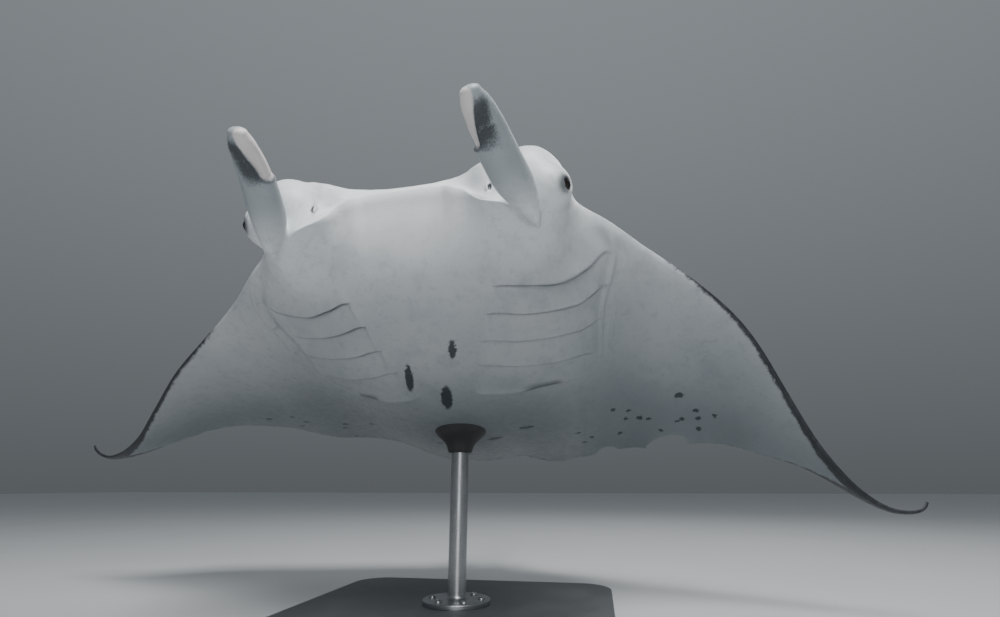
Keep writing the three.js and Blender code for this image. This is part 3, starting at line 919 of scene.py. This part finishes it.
def horn(side):
    t = np.concatenate([np.linspace(0, 2.4, 34), np.linspace(2.43, 5, 70)])
    degrees = np.concatenate([
        np.arange(0, 60, 8.6), np.arange(60, 150, 3.6), np.arange(150, 240, 5), np.arange(240, 360, 8.6),
    ])
    angles = np.radians(degrees)[None, :]
    rings, ahead = limb(cephalic_fin, t, angles, cephalic_turn)
    rings = rounded_end(rings, ahead, horn_tip)
    middle = rings.mean(1, keepdims=True)
    steps = np.linalg.norm(np.diff(middle[:, 0], axis=0), axis=-1)
    from_tip = np.concatenate([np.cumsum(steps[::-1])[::-1], [0]])[:, None]
    spoke = rings - middle
    length = np.linalg.norm(spoke, axis=-1)
    past_ventral = np.radians(degrees - opening_ventral(from_tip)) * np.maximum(length, 12)
    past_dorsal = np.radians(opening_dorsal(from_tip) - degrees) * np.maximum(length, 12)
    past_end = opening_length + 8 * ease(degrees, 120, 220) - from_tip
    past_rim = soft_least(past_ventral, past_end, 16)
    inside = ease(past_rim, -0.5, 3) * ease(past_dorsal, 0, 26)
    settle = (1 - 0.6 * ease(past_rim, 8, 70)) * ease(from_tip, 4, 70)
    lip = 1.5 * hump(past_rim + 3, 3) * ease(past_dorsal, 0, 26) * ease(from_tip, 30, 80)
    depth = opening_depth * inside * settle * ease(past_dorsal, 0, 70)
    inset = (depth - lip) * ease(length, 4, 30)
    rings = rings - spoke * (inset / length)[..., None]
    if side < 0:
        rings[..., 1] = np.where(rings[..., 1] < 0, rings[..., 1] * right_reach, rings[..., 1])
    charcoal = (1 - ease(-past_ventral, 12, 58)) * ease(-past_ventral, -2, 1) * ease(past_dorsal, -10, 20)
    charcoal = charcoal * ease(from_tip, 6, 42) * (1 - ease(from_tip, 96, 176))
    # A thin line of painted shade along the rim of the opening, where the roll folds in.
    rim_line = 0.9 * hump(past_rim + 1, 3) * ease(from_tip, 60, 110) * ease(past_dorsal, 0, 26)
    dorsal = np.radians(45 - np.abs(degrees - 280)) * length - 60 * ease(from_tip, 190, 260)
    dorsal = dorsal - 60 * (1 - ease(from_tip, 12, 40))
    rings = rings * (side, 1, 1)
    marks = {
        "place": np.stack([rings[..., 0], rings[..., 1], dorsal - 60 * inside], -1),
        "marks": np.stack([rim_line, charcoal, inside], -1),
        "part": np.ones(charcoal.shape),
        "wrinkled": ease(from_tip, 215, 300) * (1 - ease(np.abs(degrees - 70), 70, 120)),
    }
    return tube(f"horn{side}", rings, marks, flip=side < 0)


# ---- Tail, dorsal fin and pelvic fins ----
# A short whip of a tail without a spine, a small upright fin over its root, and
# a pair of small flat fins beside it.
tail = [
    {"at": (0, 1330, -30), "across": 34, "high": 24},
    {"at": (0, 1450, -12), "across": 27, "high": 20},
    {"at": (0, 1600, 62), "across": 18, "high": 14},
    {"at": (0, 1850, 205), "across": 11, "high": 9},
    {"at": (0, 2150, 375), "across": 7, "high": 6},
    {"at": (0, 2450, 545), "across": 2.5, "high": 2.5},
]
pelvic_fin = [
    {"at": (100, 1340, -45), "across": 50, "high": 12},
    {"at": (112, 1450, -38), "across": 44, "high": 9},
    {"at": (124, 1520, -4), "across": 30, "high": 5},
    {"at": (128, 1572, 24), "across": 8, "high": 2},
]
dorsal_fin = {"base": (1310, 1445), "foot": -25, "top": 100, "tip": (1425, 1468), "thick": 15, "tip_thick": 3}


def plain_limb(name, stations, steps, sides, end, side=1):
    t = np.linspace(0, len(stations) - 1, steps)
    angles = 2 * np.pi * np.arange(sides)[None, :] / sides
    rings, ahead = limb(stations, t, angles)
    rings = rounded_end(rings, ahead, end, 4)
    middle = rings.mean(1, keepdims=True)
    up = (rings - middle)[..., 2]
    rings = rings * (side, 1, 1)
    marks = {
        "place": np.stack([rings[..., 0], rings[..., 1], up * 2 + 6], -1),
        "marks": np.zeros(rings.shape),
        "part": np.full(rings.shape[:2], 2.0),
    }
    return tube(name, rings, marks, flip=side < 0)


def upright_fin():
    fin = dorsal_fin
    rounding = 0.9 + 0.1 * np.sin(np.linspace(0, math.pi / 2, 7))[1:]
    t = np.concatenate([np.linspace(0, 0.9, 22), rounding])[:, None]
    turn = 2 * np.pi * np.arange(36)[None, :] / 36
    shrink = np.sqrt(np.clip(1 - np.maximum(0, (t - 0.9) / 0.1) ** 2, 0.02, 1))
    first = fin["base"][0] + (fin["tip"][0] - fin["base"][0]) * t
    last = fin["base"][1] + (fin["tip"][1] - fin["base"][1]) * t
    half = (fin["thick"] + (fin["tip_thick"] - fin["thick"]) * t) / 2 * shrink
    middle, reach = (first + last) / 2, (last - first) / 2 * shrink
    x = half * np.sin(turn) * (0.75 + 0.25 * np.cos(turn + math.pi))
    y = middle + reach * np.cos(turn)
    z = fin["foot"] + (fin["top"] - fin["foot"]) * t + 0 * turn
    rings = np.stack([x, y, z], -1)
    marks = {
        "place": np.stack([x, y, 30 + 0 * x], -1),
        "marks": np.zeros(rings.shape),
        "part": np.full(x.shape, 2.0),
    }
    return tube("dorsal", rings, marks)


limbs = [
    horn(1), horn(-1), plain_limb("tail", tail, 110, 20, 2.5),
    plain_limb("pelvic_left", pelvic_fin, 34, 30, 6), plain_limb("pelvic_right", pelvic_fin, 34, 30, 6, -1),
    upright_fin(),
]


# ---- Eyes ----
# A dark glossy ball on each side of the head, set in a round socket of dark
# skin that stands a little proud of it; the socket's walls are painted dark as shade.
socket = {"radii": (15, 12, 26), "ahead": 12}


def oval(name, centre, radii, ahead, marks, side, steps=18, sides=36):
    """A closed oval body: its last radius lies along the way ahead, its first level."""
    ahead = np.array(ahead) / np.linalg.norm(ahead)
    level = np.cross(ahead, (0, 0, 1))
    level /= np.linalg.norm(level)
    upright = np.cross(level, ahead)
    polar = np.radians(180) * (1 - np.arange(1, steps) / steps)[:, None, None]
    turn = 2 * np.pi * np.arange(sides)[None, :, None] / sides
    rings = np.array(centre) + ahead * radii[2] * np.cos(polar)
    rings = rings + np.sin(polar) * (level * radii[0] * np.cos(turn) + upright * radii[1] * np.sin(turn))
    rings = rings * (side, 1, 1)
    full = {"place": np.stack([rings[..., 0], rings[..., 1], 0 * rings[..., 0] + marks["place"]], -1)}
    full["marks"] = np.zeros(rings.shape) + marks["marks"]
    full["part"] = np.full(rings.shape[:2], float(marks["part"]))
    return tube(name, rings, full, flip=side < 0)


# The walls of the cut hollows, eye sockets and nostrils, take the dark slit colour in full: painted shade.
hollow = {"place": -60, "marks": (1, 0, 0), "part": 3}
socket_at = eye["centre"] + gaze * socket["ahead"]
sockets = [oval(f"socket{side}", socket_at, socket["radii"], gaze, hollow, side) for side in (1, -1)]


# ---- Nostrils and spiracles ----
# A nostril with a small flap lies in each corner of the pocket over the mouth,
# and a short slit, the spiracle, opens on the back behind each eye.
nostril = {"at": (238, 76, -31), "radii": (4.5, 12, 7), "ahead": (0.1, -1, 0)}
nostril_flap = {"at": (230, 74, -33), "radii": (5, 17, 9), "ahead": (0.3, -1, 0)}
spiracle = {"at": (372, 214, 128), "radii": (4, 15, 7), "ahead": (0.35, 0.1, 1)}


def small_oval(name, shape, side, marks):
    """An oval body set on the skin at the point nearest to where it belongs."""
    nearest = np.argmin(np.linalg.norm(spots - np.array(shape["at"]) * (side, 1, 1), axis=-1))
    centre = spots[nearest] * (side, 1, 1)
    return oval(f"{name}{side}", centre, shape["radii"], shape["ahead"], marks, side, 12, 20)


flap_skin = {"place": -60, "marks": (0, 0, 0.5), "part": 3}
# The spiracles' cut walls take the same painted shade.
hollow_in_back = {"place": 60, "marks": (1, 0, 0), "part": 3}
flaps = [small_oval("nostril_flap", nostril_flap, side, flap_skin) for side in (1, -1)]
openings = [small_oval("nostril", nostril, side, hollow) for side in (1, -1)]
openings += [small_oval("spiracle", spiracle, side, hollow_in_back) for side in (1, -1)]


# ---- One skin ----
# Disc, horns, tail and small fins become one closed skin, and the skin is
# eased over every join so that none of them shows as a seam.
added, cut_out = limbs + flaps, sockets + openings
for piece, operation in [(piece, "UNION") for piece in added] + [(piece, "DIFFERENCE") for piece in cut_out]:
    joining = disc.modifiers.new("join", "BOOLEAN")
    joining.operation = operation
    joining.solver = "MANIFOLD"
    joining.object = piece
whole = bpy.data.meshes.new_from_object(disc.evaluated_get(bpy.context.evaluated_depsgraph_get()))
for piece in [disc] + added + cut_out:
    bpy.data.meshes.remove(piece.data)

join_width = {"horn": 0.042, "crease": 0.003, "tail": 0.022, "socket": 0.003}
join_rounds = 90


def ease_joins(mesh):
    """Moves points near a join towards their neighbours' middle, less the farther they are from it."""
    spots = points_of(mesh)
    ends = edges_of(mesh)
    part = np.round(read(mesh, "part")).astype(int)
    across_join = part[ends[:, 0]] != part[ends[:, 1]]
    other = np.maximum(part[ends[:, 0]], part[ends[:, 1]])[across_join]
    centres = spots[ends[across_join]].mean(1)
    width = np.array([0, join_width["horn"], join_width["tail"], join_width["socket"]])[other]
    own = in_ray(centres)
    line = np.array([station["at"] for station in cephalic_fin])
    outer = np.abs(own[:, 0]) - np.interp(-own[:, 1], -line[:, 1], line[:, 0])
    creased = np.where(other == 1, ease(outer, -12, 8), 0)
    width += creased * (join_width["crease"] - width)
    tree = KDTree(len(centres))
    for i, spot in enumerate(centres):
        tree.insert(spot, i)
    tree.balance()
    weight = np.zeros(len(spots))
    for i, spot in enumerate(spots):
        _, nearest, distance = tree.find(spot)
        weight[i] = 1 - ease(distance, 0, width[nearest])
    spots = settle_points(spots, ends, weight, join_rounds)
    mesh.vertices.foreach_set("co", spots.ravel())
    mesh.update()


def fill_cut_points(mesh):
    """Gives the points made by joining, which carry no values, the middle of their neighbours' values."""
    ends = edges_of(mesh)
    pairs = np.concatenate([ends, ends[:, ::-1]])
    values = {name: read(mesh, name) for name in ("place", "marks")}
    empty = ~values["place"].any(1)
    while empty.any():
        own, other = pairs[~empty[pairs[:, 1]]].T
        count = np.bincount(own, minlength=len(empty))
        filled = empty & (count > 0)
        for field in values.values():
            total = np.stack([np.bincount(own, field[other, k], len(empty)) for k in range(3)], -1)
            field[filled] = total[filled] / count[filled, None]
        empty &= ~filled
    for name, field in values.items():
        mesh.attributes[name].data.foreach_set("vector", field.ravel())


ease_joins(whole)
fill_cut_points(whole)


def darken_round_eyes(mesh):
    """Marks the skin round each eye dark, most just ahead of the eye and below it."""
    offset = mirrored(in_ray(points_of(mesh))) - eye["centre"]
    seen = offset @ gaze > -25
    offset -= np.outer(offset @ gaze, gaze)
    offset = offset - (-4, -7, -7)
    near = 1 - ease(np.linalg.norm(offset, axis=-1), 16, 33)
    marks = read(mesh, "marks")
    marks[:, 0] = np.maximum(marks[:, 0], np.where(seen, near, 0))
    mesh.attributes["marks"].data.foreach_set("vector", marks.ravel())


darken_round_eyes(whole)


# Dark spots on the belly, each [across, along, half width, half length] with
# across over 0 on the ray's left; most lie along the trailing edge.
belly_spots = [
    (63, 482, 11, 32), (-93, 583, 12, 57), (0, 688, 18, 60),
    (93, 1054, 30, 14), (204, 975, 19, 11), (-120, 1069, 12, 8), (-99, 1228, 13, 9), (-45, 1286, 15, 9),
    (348, 1103, 13, 7), (417, 1155, 12, 8), (381, 1194, 10, 7), (849, 922, 17, 11), (561, 994, 14, 9),
    (642, 1008, 11, 8), (630, 1051, 12, 7), (693, 1044, 13, 8), (735, 1043, 11, 8), (930, 977, 12, 9),
    (1008, 976, 10, 7), (948, 1007, 11, 7), (879, 1025, 12, 8), (861, 1037, 9, 6), (963, 1053, 12, 8),
    (798, 1092, 11, 7), (600, 1132, 12, 8), (-867, 1063, 13, 8), (-759, 1046, 12, 8), (-714, 1088, 14, 9),
    (-756, 1139, 11, 7), (-549, 1101, 13, 8), (-567, 1145, 12, 7), (-420, 1076, 13, 8), (-552, 1246, 12, 8),
]


spot_lean = 0.17


def skin_finish():
    f = Finish("ray_skin")
    place = f.add("Attribute", attribute_name="place").outputs["Vector"]
    marks = f.add("Attribute", attribute_name="marks").outputs["Vector"]
    across, along, edge = f.add("SeparateXYZ", {0: place}).outputs
    slit, charcoal, inner = f.add("SeparateXYZ", {0: marks}).outputs
    here = f.place()
    cloud = f.noise(here, 3, 5, 0.55)
    blotch = f.noise(here, 13, 5, 0.6)
    mottle = f.noise(here, 38, 6, 0.65)
    speckle = f.noise(here, 240, 3, 0.6)
    grain = f.noise(here, 900, 2, 0.5)

    pale = f.mix(f.ramp(cloud, 0.35, 0.65), (0.68, 0.71, 0.73), (0.79, 0.80, 0.81))
    pale = f.mix(f.math("MULTIPLY", f.ramp(blotch, 0.48, 0.7), 0.3), pale, (0.40, 0.44, 0.47))
    pale = f.mix(f.math("MULTIPLY", f.ramp(mottle, 0.5, 0.72), 0.3), pale, (0.33, 0.37, 0.40))
    pale = f.mix(f.math("MULTIPLY", f.ramp(speckle, 0.56, 0.74), 0.3), pale, (0.24, 0.28, 0.31))
    off_middle = f.math("ABSOLUTE", across)
    far_out = f.ramp(off_middle, 900, 1500)
    # Greyer towards the rear, across the gills and out to the wing tips: partly the belly's own grey at its
    # rear and tips, partly painted shade where the belly turns away from the light.
    rear = f.math("ADD", f.ramp(along, 80, 430, 0, 0.58), f.ramp(along, 400, 1000, 0, 0.36))
    # Painted light: the middle of each wing is kept a little lighter.
    mid_wing_painted_light = f.ramp(off_middle, 550, 800)
    rear = f.math("SUBTRACT", rear, f.math("MULTIPLY", mid_wing_painted_light, f.ramp(along, 1050, 800, 0, 0.1)))
    rear = f.math("MAXIMUM", rear, f.math("MULTIPLY", far_out, 0.88))
    pale = f.mix(rear, pale, (0.12, 0.145, 0.16))
    # Darker grey over the cephalic fins, fading out across the front of the face: partly the fins' own grey,
    # partly painted shade.
    pale = f.mix(f.ramp(along, 120, -50, 0, 0.85), pale, (0.25, 0.29, 0.315))
    # A paler chin just behind the lower lip: partly its own pale colour, partly a painted highlight where the
    # lip rounds over towards the light.
    chin = f.math("MULTIPLY", f.ramp(along, 270, 120), f.ramp(off_middle, 220, 110, 0, 0.65))
    pale = f.mix(chin, pale, (0.92, 0.93, 0.94))
    pale = f.mix(inner, pale, (0.66, 0.62, 0.61))

    wobble = f.add("TexNoise", {"Vector": here, "Scale": 75, "Detail": 4, "Roughness": 0.65}).outputs[1]
    wander = f.add("VectorMath", {0: wobble, 1: (0.5, 0.5, 0.5)}, operation="SUBTRACT").outputs[0]
    leaning = f.add("CombineXYZ", {0: f.math("MULTIPLY_ADD", along, spot_lean, across), 1: along}).outputs[0]
    moved = f.add("VectorMath", {0: wander, 1: (28, 30, 0), 2: leaning}, operation="MULTIPLY_ADD").outputs[0]
    nearest = 9.0
    for x, y, wide, long in belly_spots:
        centre = (-(x + spot_lean * y) / wide, -y / long, 0)
        own = f.add("VectorMath", {0: moved, 1: (1 / wide, 1 / long, 0), 2: centre}, operation="MULTIPLY_ADD")
        reach = f.add("VectorMath", {0: own.outputs[0]}, operation="LENGTH").outputs["Value"]
        nearest = f.math("MINIMUM", reach, nearest)
    spot = f.ramp(nearest, 1.2, 0.85, 0, 1)

    band = f.math("MULTIPLY_ADD", mottle, 26, f.math("MULTIPLY_ADD", speckle, 14, -20))
    dark_side = f.ramp(f.math("ADD", edge, band), -6, 6)
    back = f.mix(f.ramp(mottle, 0.4, 0.7), (0.016, 0.018, 0.022), (0.035, 0.038, 0.043))
    shoulder = f.add("Attribute", attribute_name="shoulder").outputs["Fac"]
    cloudy = f.math("MULTIPLY_ADD", f.math("SUBTRACT", blotch, 0.5), 0.9, f.math("SUBTRACT", mottle, 0.5))
    shoulder = f.ramp(f.math("ADD", shoulder, cloudy), 0.2, 0.9, 0, 0.8)
    back = f.mix(shoulder, back, (0.40, 0.42, 0.43))
    ragged = f.math("MULTIPLY_ADD", f.math("SUBTRACT", mottle, 0.5), 1.6, f.math("SUBTRACT", speckle, 0.5))
    patch = f.math("MULTIPLY", f.ramp(f.math("ADD", charcoal, ragged), 0.1, 1.0), f.ramp(charcoal, 0, 0.3))
    paler = f.math("MULTIPLY", f.ramp(mottle, 0.42, 0.66), f.ramp(charcoal, 1.0, 0.4, 0.15, 1))
    charcoal_colour = f.mix(paler, (0.016, 0.020, 0.026), (0.16, 0.18, 0.19))
    colour = f.mix(f.math("MULTIPLY", patch, 0.92), pale, charcoal_colour)
    colour = f.mix(f.math("MULTIPLY", spot, 0.92), colour, (0.020, 0.028, 0.035))
    # The first marks channel: painted shade in the gill slits, inside the cut hollows and along each horn's
    # opening rim, with the dark skin round the eyes and the dark mark at the outer end of the last slits.
    colour = f.mix(f.math("MULTIPLY", slit, 0.85), colour, (0.05, 0.06, 0.07))
    colour = f.mix(dark_side, colour, back)
    rough = f.ramp(mottle, 0.3, 0.7, 0.38, 0.52)
    fine = f.bump(grain, 0.0003, 0.35)
    normal = f.bump(f.math("MULTIPLY_ADD", mottle, 2, speckle), 0.0008, 0.5, under=fine)
    wrinkled = f.add("Attribute", attribute_name="wrinkled").outputs["Fac"]
    wave = f.math("SINE", f.math("MULTIPLY_ADD", along, 1.0, f.math("MULTIPLY", blotch, 22)))
    normal = f.bump(f.math("MULTIPLY", wave, wrinkled), 0.0005, 0.6, under=normal)
    return f.done(colour, rough, normal, IOR=1.42)


whole.materials.clear()
whole.materials.append(skin_finish())
whole.polygons.foreach_set("material_index", np.zeros(len(whole.polygons), int))
whole.polygons.foreach_set("use_smooth", np.ones(len(whole.polygons), bool))
skin = bpy.data.objects.new("ray_skin", whole)
bpy.context.scene.collection.objects.link(skin)
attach(skin, "root")
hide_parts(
    "head", "lower_jaw", "trunk", "left_pectoral_fin", "right_pectoral_fin", "left_cephalic_fin",
    "right_cephalic_fin", "left_pelvic_fin", "right_pelvic_fin", "dorsal_fin", "tail_root", "tail_whip",
)


def eye_finish():
    f = Finish("eye")
    shade = f.ramp(f.noise(f.place(), 220), 0.4, 0.65)
    colour = f.mix(shade, (0.006, 0.006, 0.007), (0.02, 0.016, 0.012))
    return f.done(colour, 0.08, IOR=1.4)


eye_material = eye_finish()
for name, side in (("left", 1), ("right", -1)):
    plain = {"place": 0, "marks": (0, 0, 0), "part": 0}
    ball = oval(f"{name}_eyeball", eye["centre"], (eye["radius"],) * 3, gaze, plain, side, 24, 40)
    ball.data.materials.append(eye_material)
    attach(ball, "root")
    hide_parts(f"{name}_eye")


# ---- Stand: base plate ----
# A flat steel plate with rounded corners and a small rounded edge, powder
# coated dark grey. It stands flat on the floor.
plate = {"across": 1000, "along": 900, "corner": 120, "thick": 16, "edge": 3}


def ring_stack(name, rings, close=True):
    """A body through rings of points in millimetres on the floor's frame, from foot to top."""
    count = rings.shape[1]
    faces = []
    for i in range(len(rings) - 1):
        for j in range(count):
            a, b = i * count + j, i * count + (j + 1) % count
            faces.append((a, b, b + count, a + count))
    if close:
        last = (len(rings) - 1) * count
        faces.append(tuple(range(count))[::-1])
        faces.append(tuple(range(last, last + count)))
    return mesh_object(name, rings.reshape(-1, 3) / 1000, faces)


def sharpen(piece, degrees=32):
    """Leaves faces smooth but keeps the edges that turn more than this sharp."""
    piece.data.set_sharp_from_angle(angle=math.radians(degrees))


def plate_rings():
    turn = np.linspace(0, np.pi / 2, 25)
    rows = []
    for inset, z in [(plate["edge"], 0), (0, plate["edge"])] + [
        (plate["edge"] * (1 - math.cos(a)), plate["thick"] - plate["edge"] * (1 - math.sin(a)))
        for a in np.radians(np.arange(0, 91, 15))
    ]:
        radius = plate["corner"] - inset
        x, y = plate["across"] / 2 - plate["corner"], plate["along"] / 2 - plate["corner"]
        corners = [(x, y, 0), (-x, y, 90), (-x, -y, 180), (x, -y, 270)]
        xs = np.concatenate([cx + radius * np.cos(turn + math.radians(start)) for cx, _, start in corners])
        ys = np.concatenate([cy + radius * np.sin(turn + math.radians(start)) for _, cy, start in corners])
        rows.append(np.stack([xs, ys, z + 0 * xs], -1))
    return np.array(rows)


def coated_finish():
    f = Finish("stand_plate")
    here = f.place()
    grain, wear = f.noise(here, 500, 3), f.noise(here, 6, 5)
    colour = f.mix(f.ramp(wear, 0.35, 0.7), (0.050, 0.054, 0.058), (0.070, 0.074, 0.079))
    rough = f.ramp(wear, 0.3, 0.7, 0.42, 0.52)
    return f.done(colour, rough, f.bump(grain, 0.0002, 0.5), IOR=1.5)


base = ring_stack("base_plate", plate_rings())
sharpen(base)
base.data.materials.append(coated_finish())
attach(base, "root")
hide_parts("stand_base")


# ---- Stand: column and its bolts ----
# A solid brushed steel column welded to a round flange, held to the plate by
# six button-head screws. Its top end is hidden inside the ray.
column = {
    "radius": 30, "flange": 110, "flange_thick": 14, "edge": 3, "foot": 16.3, "top": 716, "fillet": 16,
}
bolt_circle = 82
bolt_count = 6
screw = {"radius": 12, "high": 8, "socket": 6.2, "socket_deep": 5}


def turned(name, profile, count=96):
    """A round body from (radius, height) points, its axis upright."""
    turn = 2 * np.pi * np.arange(count) / count
    rings = np.array([[(r * math.cos(a), r * math.sin(a), z) for a in turn] for r, z in profile])
    return ring_stack(name, rings)


def column_profile():
    foot, top = column["foot"], column["top"]
    flange_top = foot + column["flange_thick"]
    flange, radius, fillet, edge = column["flange"], column["radius"], column["fillet"], column["edge"]
    profile = [(flange - 1, foot), (flange, foot + 1)]
    for a in np.radians(range(0, 91, 15)):
        profile.append((flange - edge * (1 - math.cos(a)), flange_top - edge * (1 - math.sin(a))))
    profile.append((radius + fillet + 5, flange_top))
    for a in np.radians(range(0, 91, 10)):
        profile.append((radius + fillet * (1 - math.sin(a)), flange_top + fillet * (1 - math.cos(a))))
    return profile + [(radius, top)]


def brushed_finish():
    f = Finish("stand_steel")
    here = f.place()
    stretched = f.add("Mapping", {"Vector": here, "Scale": (60, 60, 1400)}).outputs[0]
    streak = f.noise(stretched, 1, 3, 0.6)
    smudge = f.noise(here, 9, 4)
    colour = f.mix(f.ramp(streak, 0.3, 0.7), (0.34, 0.35, 0.36), (0.46, 0.47, 0.48))
    rough = f.math("ADD", f.ramp(streak, 0.3, 0.7, 0.28, 0.36), f.ramp(smudge, 0.45, 0.7, 0, 0.08))
    return f.done(colour, rough, f.bump(streak, 0.0001, 0.3), Metallic=1.0)


def screw_mesh():
    turn = 2 * np.pi * np.arange(48) / 48
    hexagon = screw["socket"] / np.cos((turn + np.pi / 6) % (np.pi / 3) - np.pi / 6)
    rounds = [(screw["radius"], 0)]
    for a in np.radians(range(0, 56, 8)):
        rounds.append((screw["radius"] * math.cos(a), 2 + (screw["high"] - 2) * math.sin(a)))
    top = rounds[-1][1]
    rings = [[(r * math.cos(a), r * math.sin(a), z) for a in turn] for r, z in rounds]
    for grow, z in ((1.04, top), (1, top - 0.4), (1, top - screw["socket_deep"])):
        rings.append([(grow * h * math.cos(a), grow * h * math.sin(a), z) for h, a in zip(hexagon, turn)])
    made = ring_stack("screw", np.array(rings))
    sharpen(made)
    return made


def repeat_round(name, pattern, count, radius, height, material):
    """Copies a piece round a circle at a height, by geometry nodes, and returns the one mesh."""
    group = bpy.data.node_groups.new("repeat_round", "GeometryNodeTree")
    interface = group.interface
    interface.new_socket("Geometry", in_out="OUTPUT", socket_type="NodeSocketGeometry")
    wanted = {}
    for label, kind in (
        ("Pattern", "NodeSocketObject"), ("Count", "NodeSocketInt"), ("Radius", "NodeSocketFloat"),
        ("Height", "NodeSocketFloat"), ("Finish", "NodeSocketMaterial"),
    ):
        wanted[label] = interface.new_socket(label, in_out="INPUT", socket_type=kind).identifier
    new, link = group.nodes.new, group.links.new
    given, result = new("NodeGroupInput"), new("NodeGroupOutput")
    kinds = ("MeshCircle", "Transform", "ObjectInfo", "InstanceOnPoints", "RealizeInstances", "SetMaterial")
    circle, lift, piece, copies, real, painted = (new("GeometryNode" + kind) for kind in kinds)
    shift = new("ShaderNodeCombineXYZ")
    link(given.outputs["Count"], circle.inputs["Vertices"])
    link(given.outputs["Radius"], circle.inputs["Radius"])
    link(given.outputs["Height"], shift.inputs[2])
    link(circle.outputs[0], lift.inputs["Geometry"])
    link(shift.outputs[0], lift.inputs["Translation"])
    link(given.outputs["Pattern"], piece.inputs["Object"])
    link(lift.outputs[0], copies.inputs["Points"])
    link(piece.outputs["Geometry"], copies.inputs["Instance"])
    link(copies.outputs[0], real.inputs[0])
    link(real.outputs[0], painted.inputs["Geometry"])
    link(given.outputs["Finish"], painted.inputs["Material"])
    link(painted.outputs[0], result.inputs[0])
    holder = mesh_object("holder", [(0, 0, 0)], [])
    repeat = holder.modifiers.new("repeat", "NODES")
    repeat.node_group = group
    values = {"Pattern": pattern, "Count": count, "Radius": radius, "Height": height, "Finish": material}
    for label, value in values.items():
        repeat[wanted[label]] = value
    mesh = bpy.data.meshes.new_from_object(holder.evaluated_get(bpy.context.evaluated_depsgraph_get()))
    holder.modifiers.remove(repeat)
    bpy.data.objects.remove(holder)
    bpy.data.meshes.remove(pattern.data)
    made = bpy.data.objects.new(name, mesh)
    bpy.context.scene.collection.objects.link(made)
    return made


steel = brushed_finish()
post = turned("column", column_profile())
sharpen(post)
post.data.materials.append(steel)
bolt_height = (column["foot"] + column["flange_thick"]) / 1000
bolts = repeat_round("bolts", screw_mesh(), bolt_count, bolt_circle / 1000, bolt_height, steel)
for piece in (post, bolts):
    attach(piece, "root")
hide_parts("stand_column")


# ---- Stand: saddle ----
# A rubber-faced cup round the column's top. Its rim is cut to the belly, so the
# ray rests on it all round.
saddle = {"inner": 30.3, "outer": 92, "foot": 486, "rim_sinks": 5}
saddle_bulge = [
    (0, 39), (0.03, 41), (0.1, 43), (0.28, 47), (0.45, 56), (0.62, 69), (0.78, 82), (0.9, 89), (0.97, 92),
    (1, 91),
]


def saddle_body(count=96):
    rings = [[] for _ in range(len(saddle_bulge) + 4)]
    for turn in 2 * np.pi * np.arange(count) / count:
        way = np.array((math.cos(turn), math.sin(turn)))

        def belly_over(radius):
            at = way * radius / 1000
            _, spot, _, _ = skin.ray_cast((at[0], at[1], 0.3), (0, 0, 1))
            return spot.z * 1000 + saddle["rim_sinks"]

        foot, rim = saddle["foot"], belly_over(saddle["outer"])
        profile = [(saddle["inner"], foot)]
        profile += [(radius, foot + (rim - foot) * share) for share, radius in saddle_bulge]
        profile += [(radius, belly_over(radius)) for radius in (84, 60, saddle["inner"])]
        for ring, (radius, height) in zip(rings, profile):
            ring.append((*(way * radius), height))
    rings.append(rings[0])
    return ring_stack("saddle", np.array(rings), close=False)


def rubber_finish():
    f = Finish("stand_pad")
    here = f.place()
    dust, grain = f.noise(here, 14, 5), f.noise(here, 700, 2)
    colour = f.mix(f.ramp(dust, 0.4, 0.75), (0.020, 0.020, 0.021), (0.045, 0.045, 0.046))
    return f.done(colour, f.ramp(dust, 0.3, 0.7, 0.6, 0.72), f.bump(grain, 0.0002, 0.5))


cup = saddle_body()
sharpen(cup, 50)
cup.data.materials.append(rubber_finish())
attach(cup, "root")
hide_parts("stand_saddle")
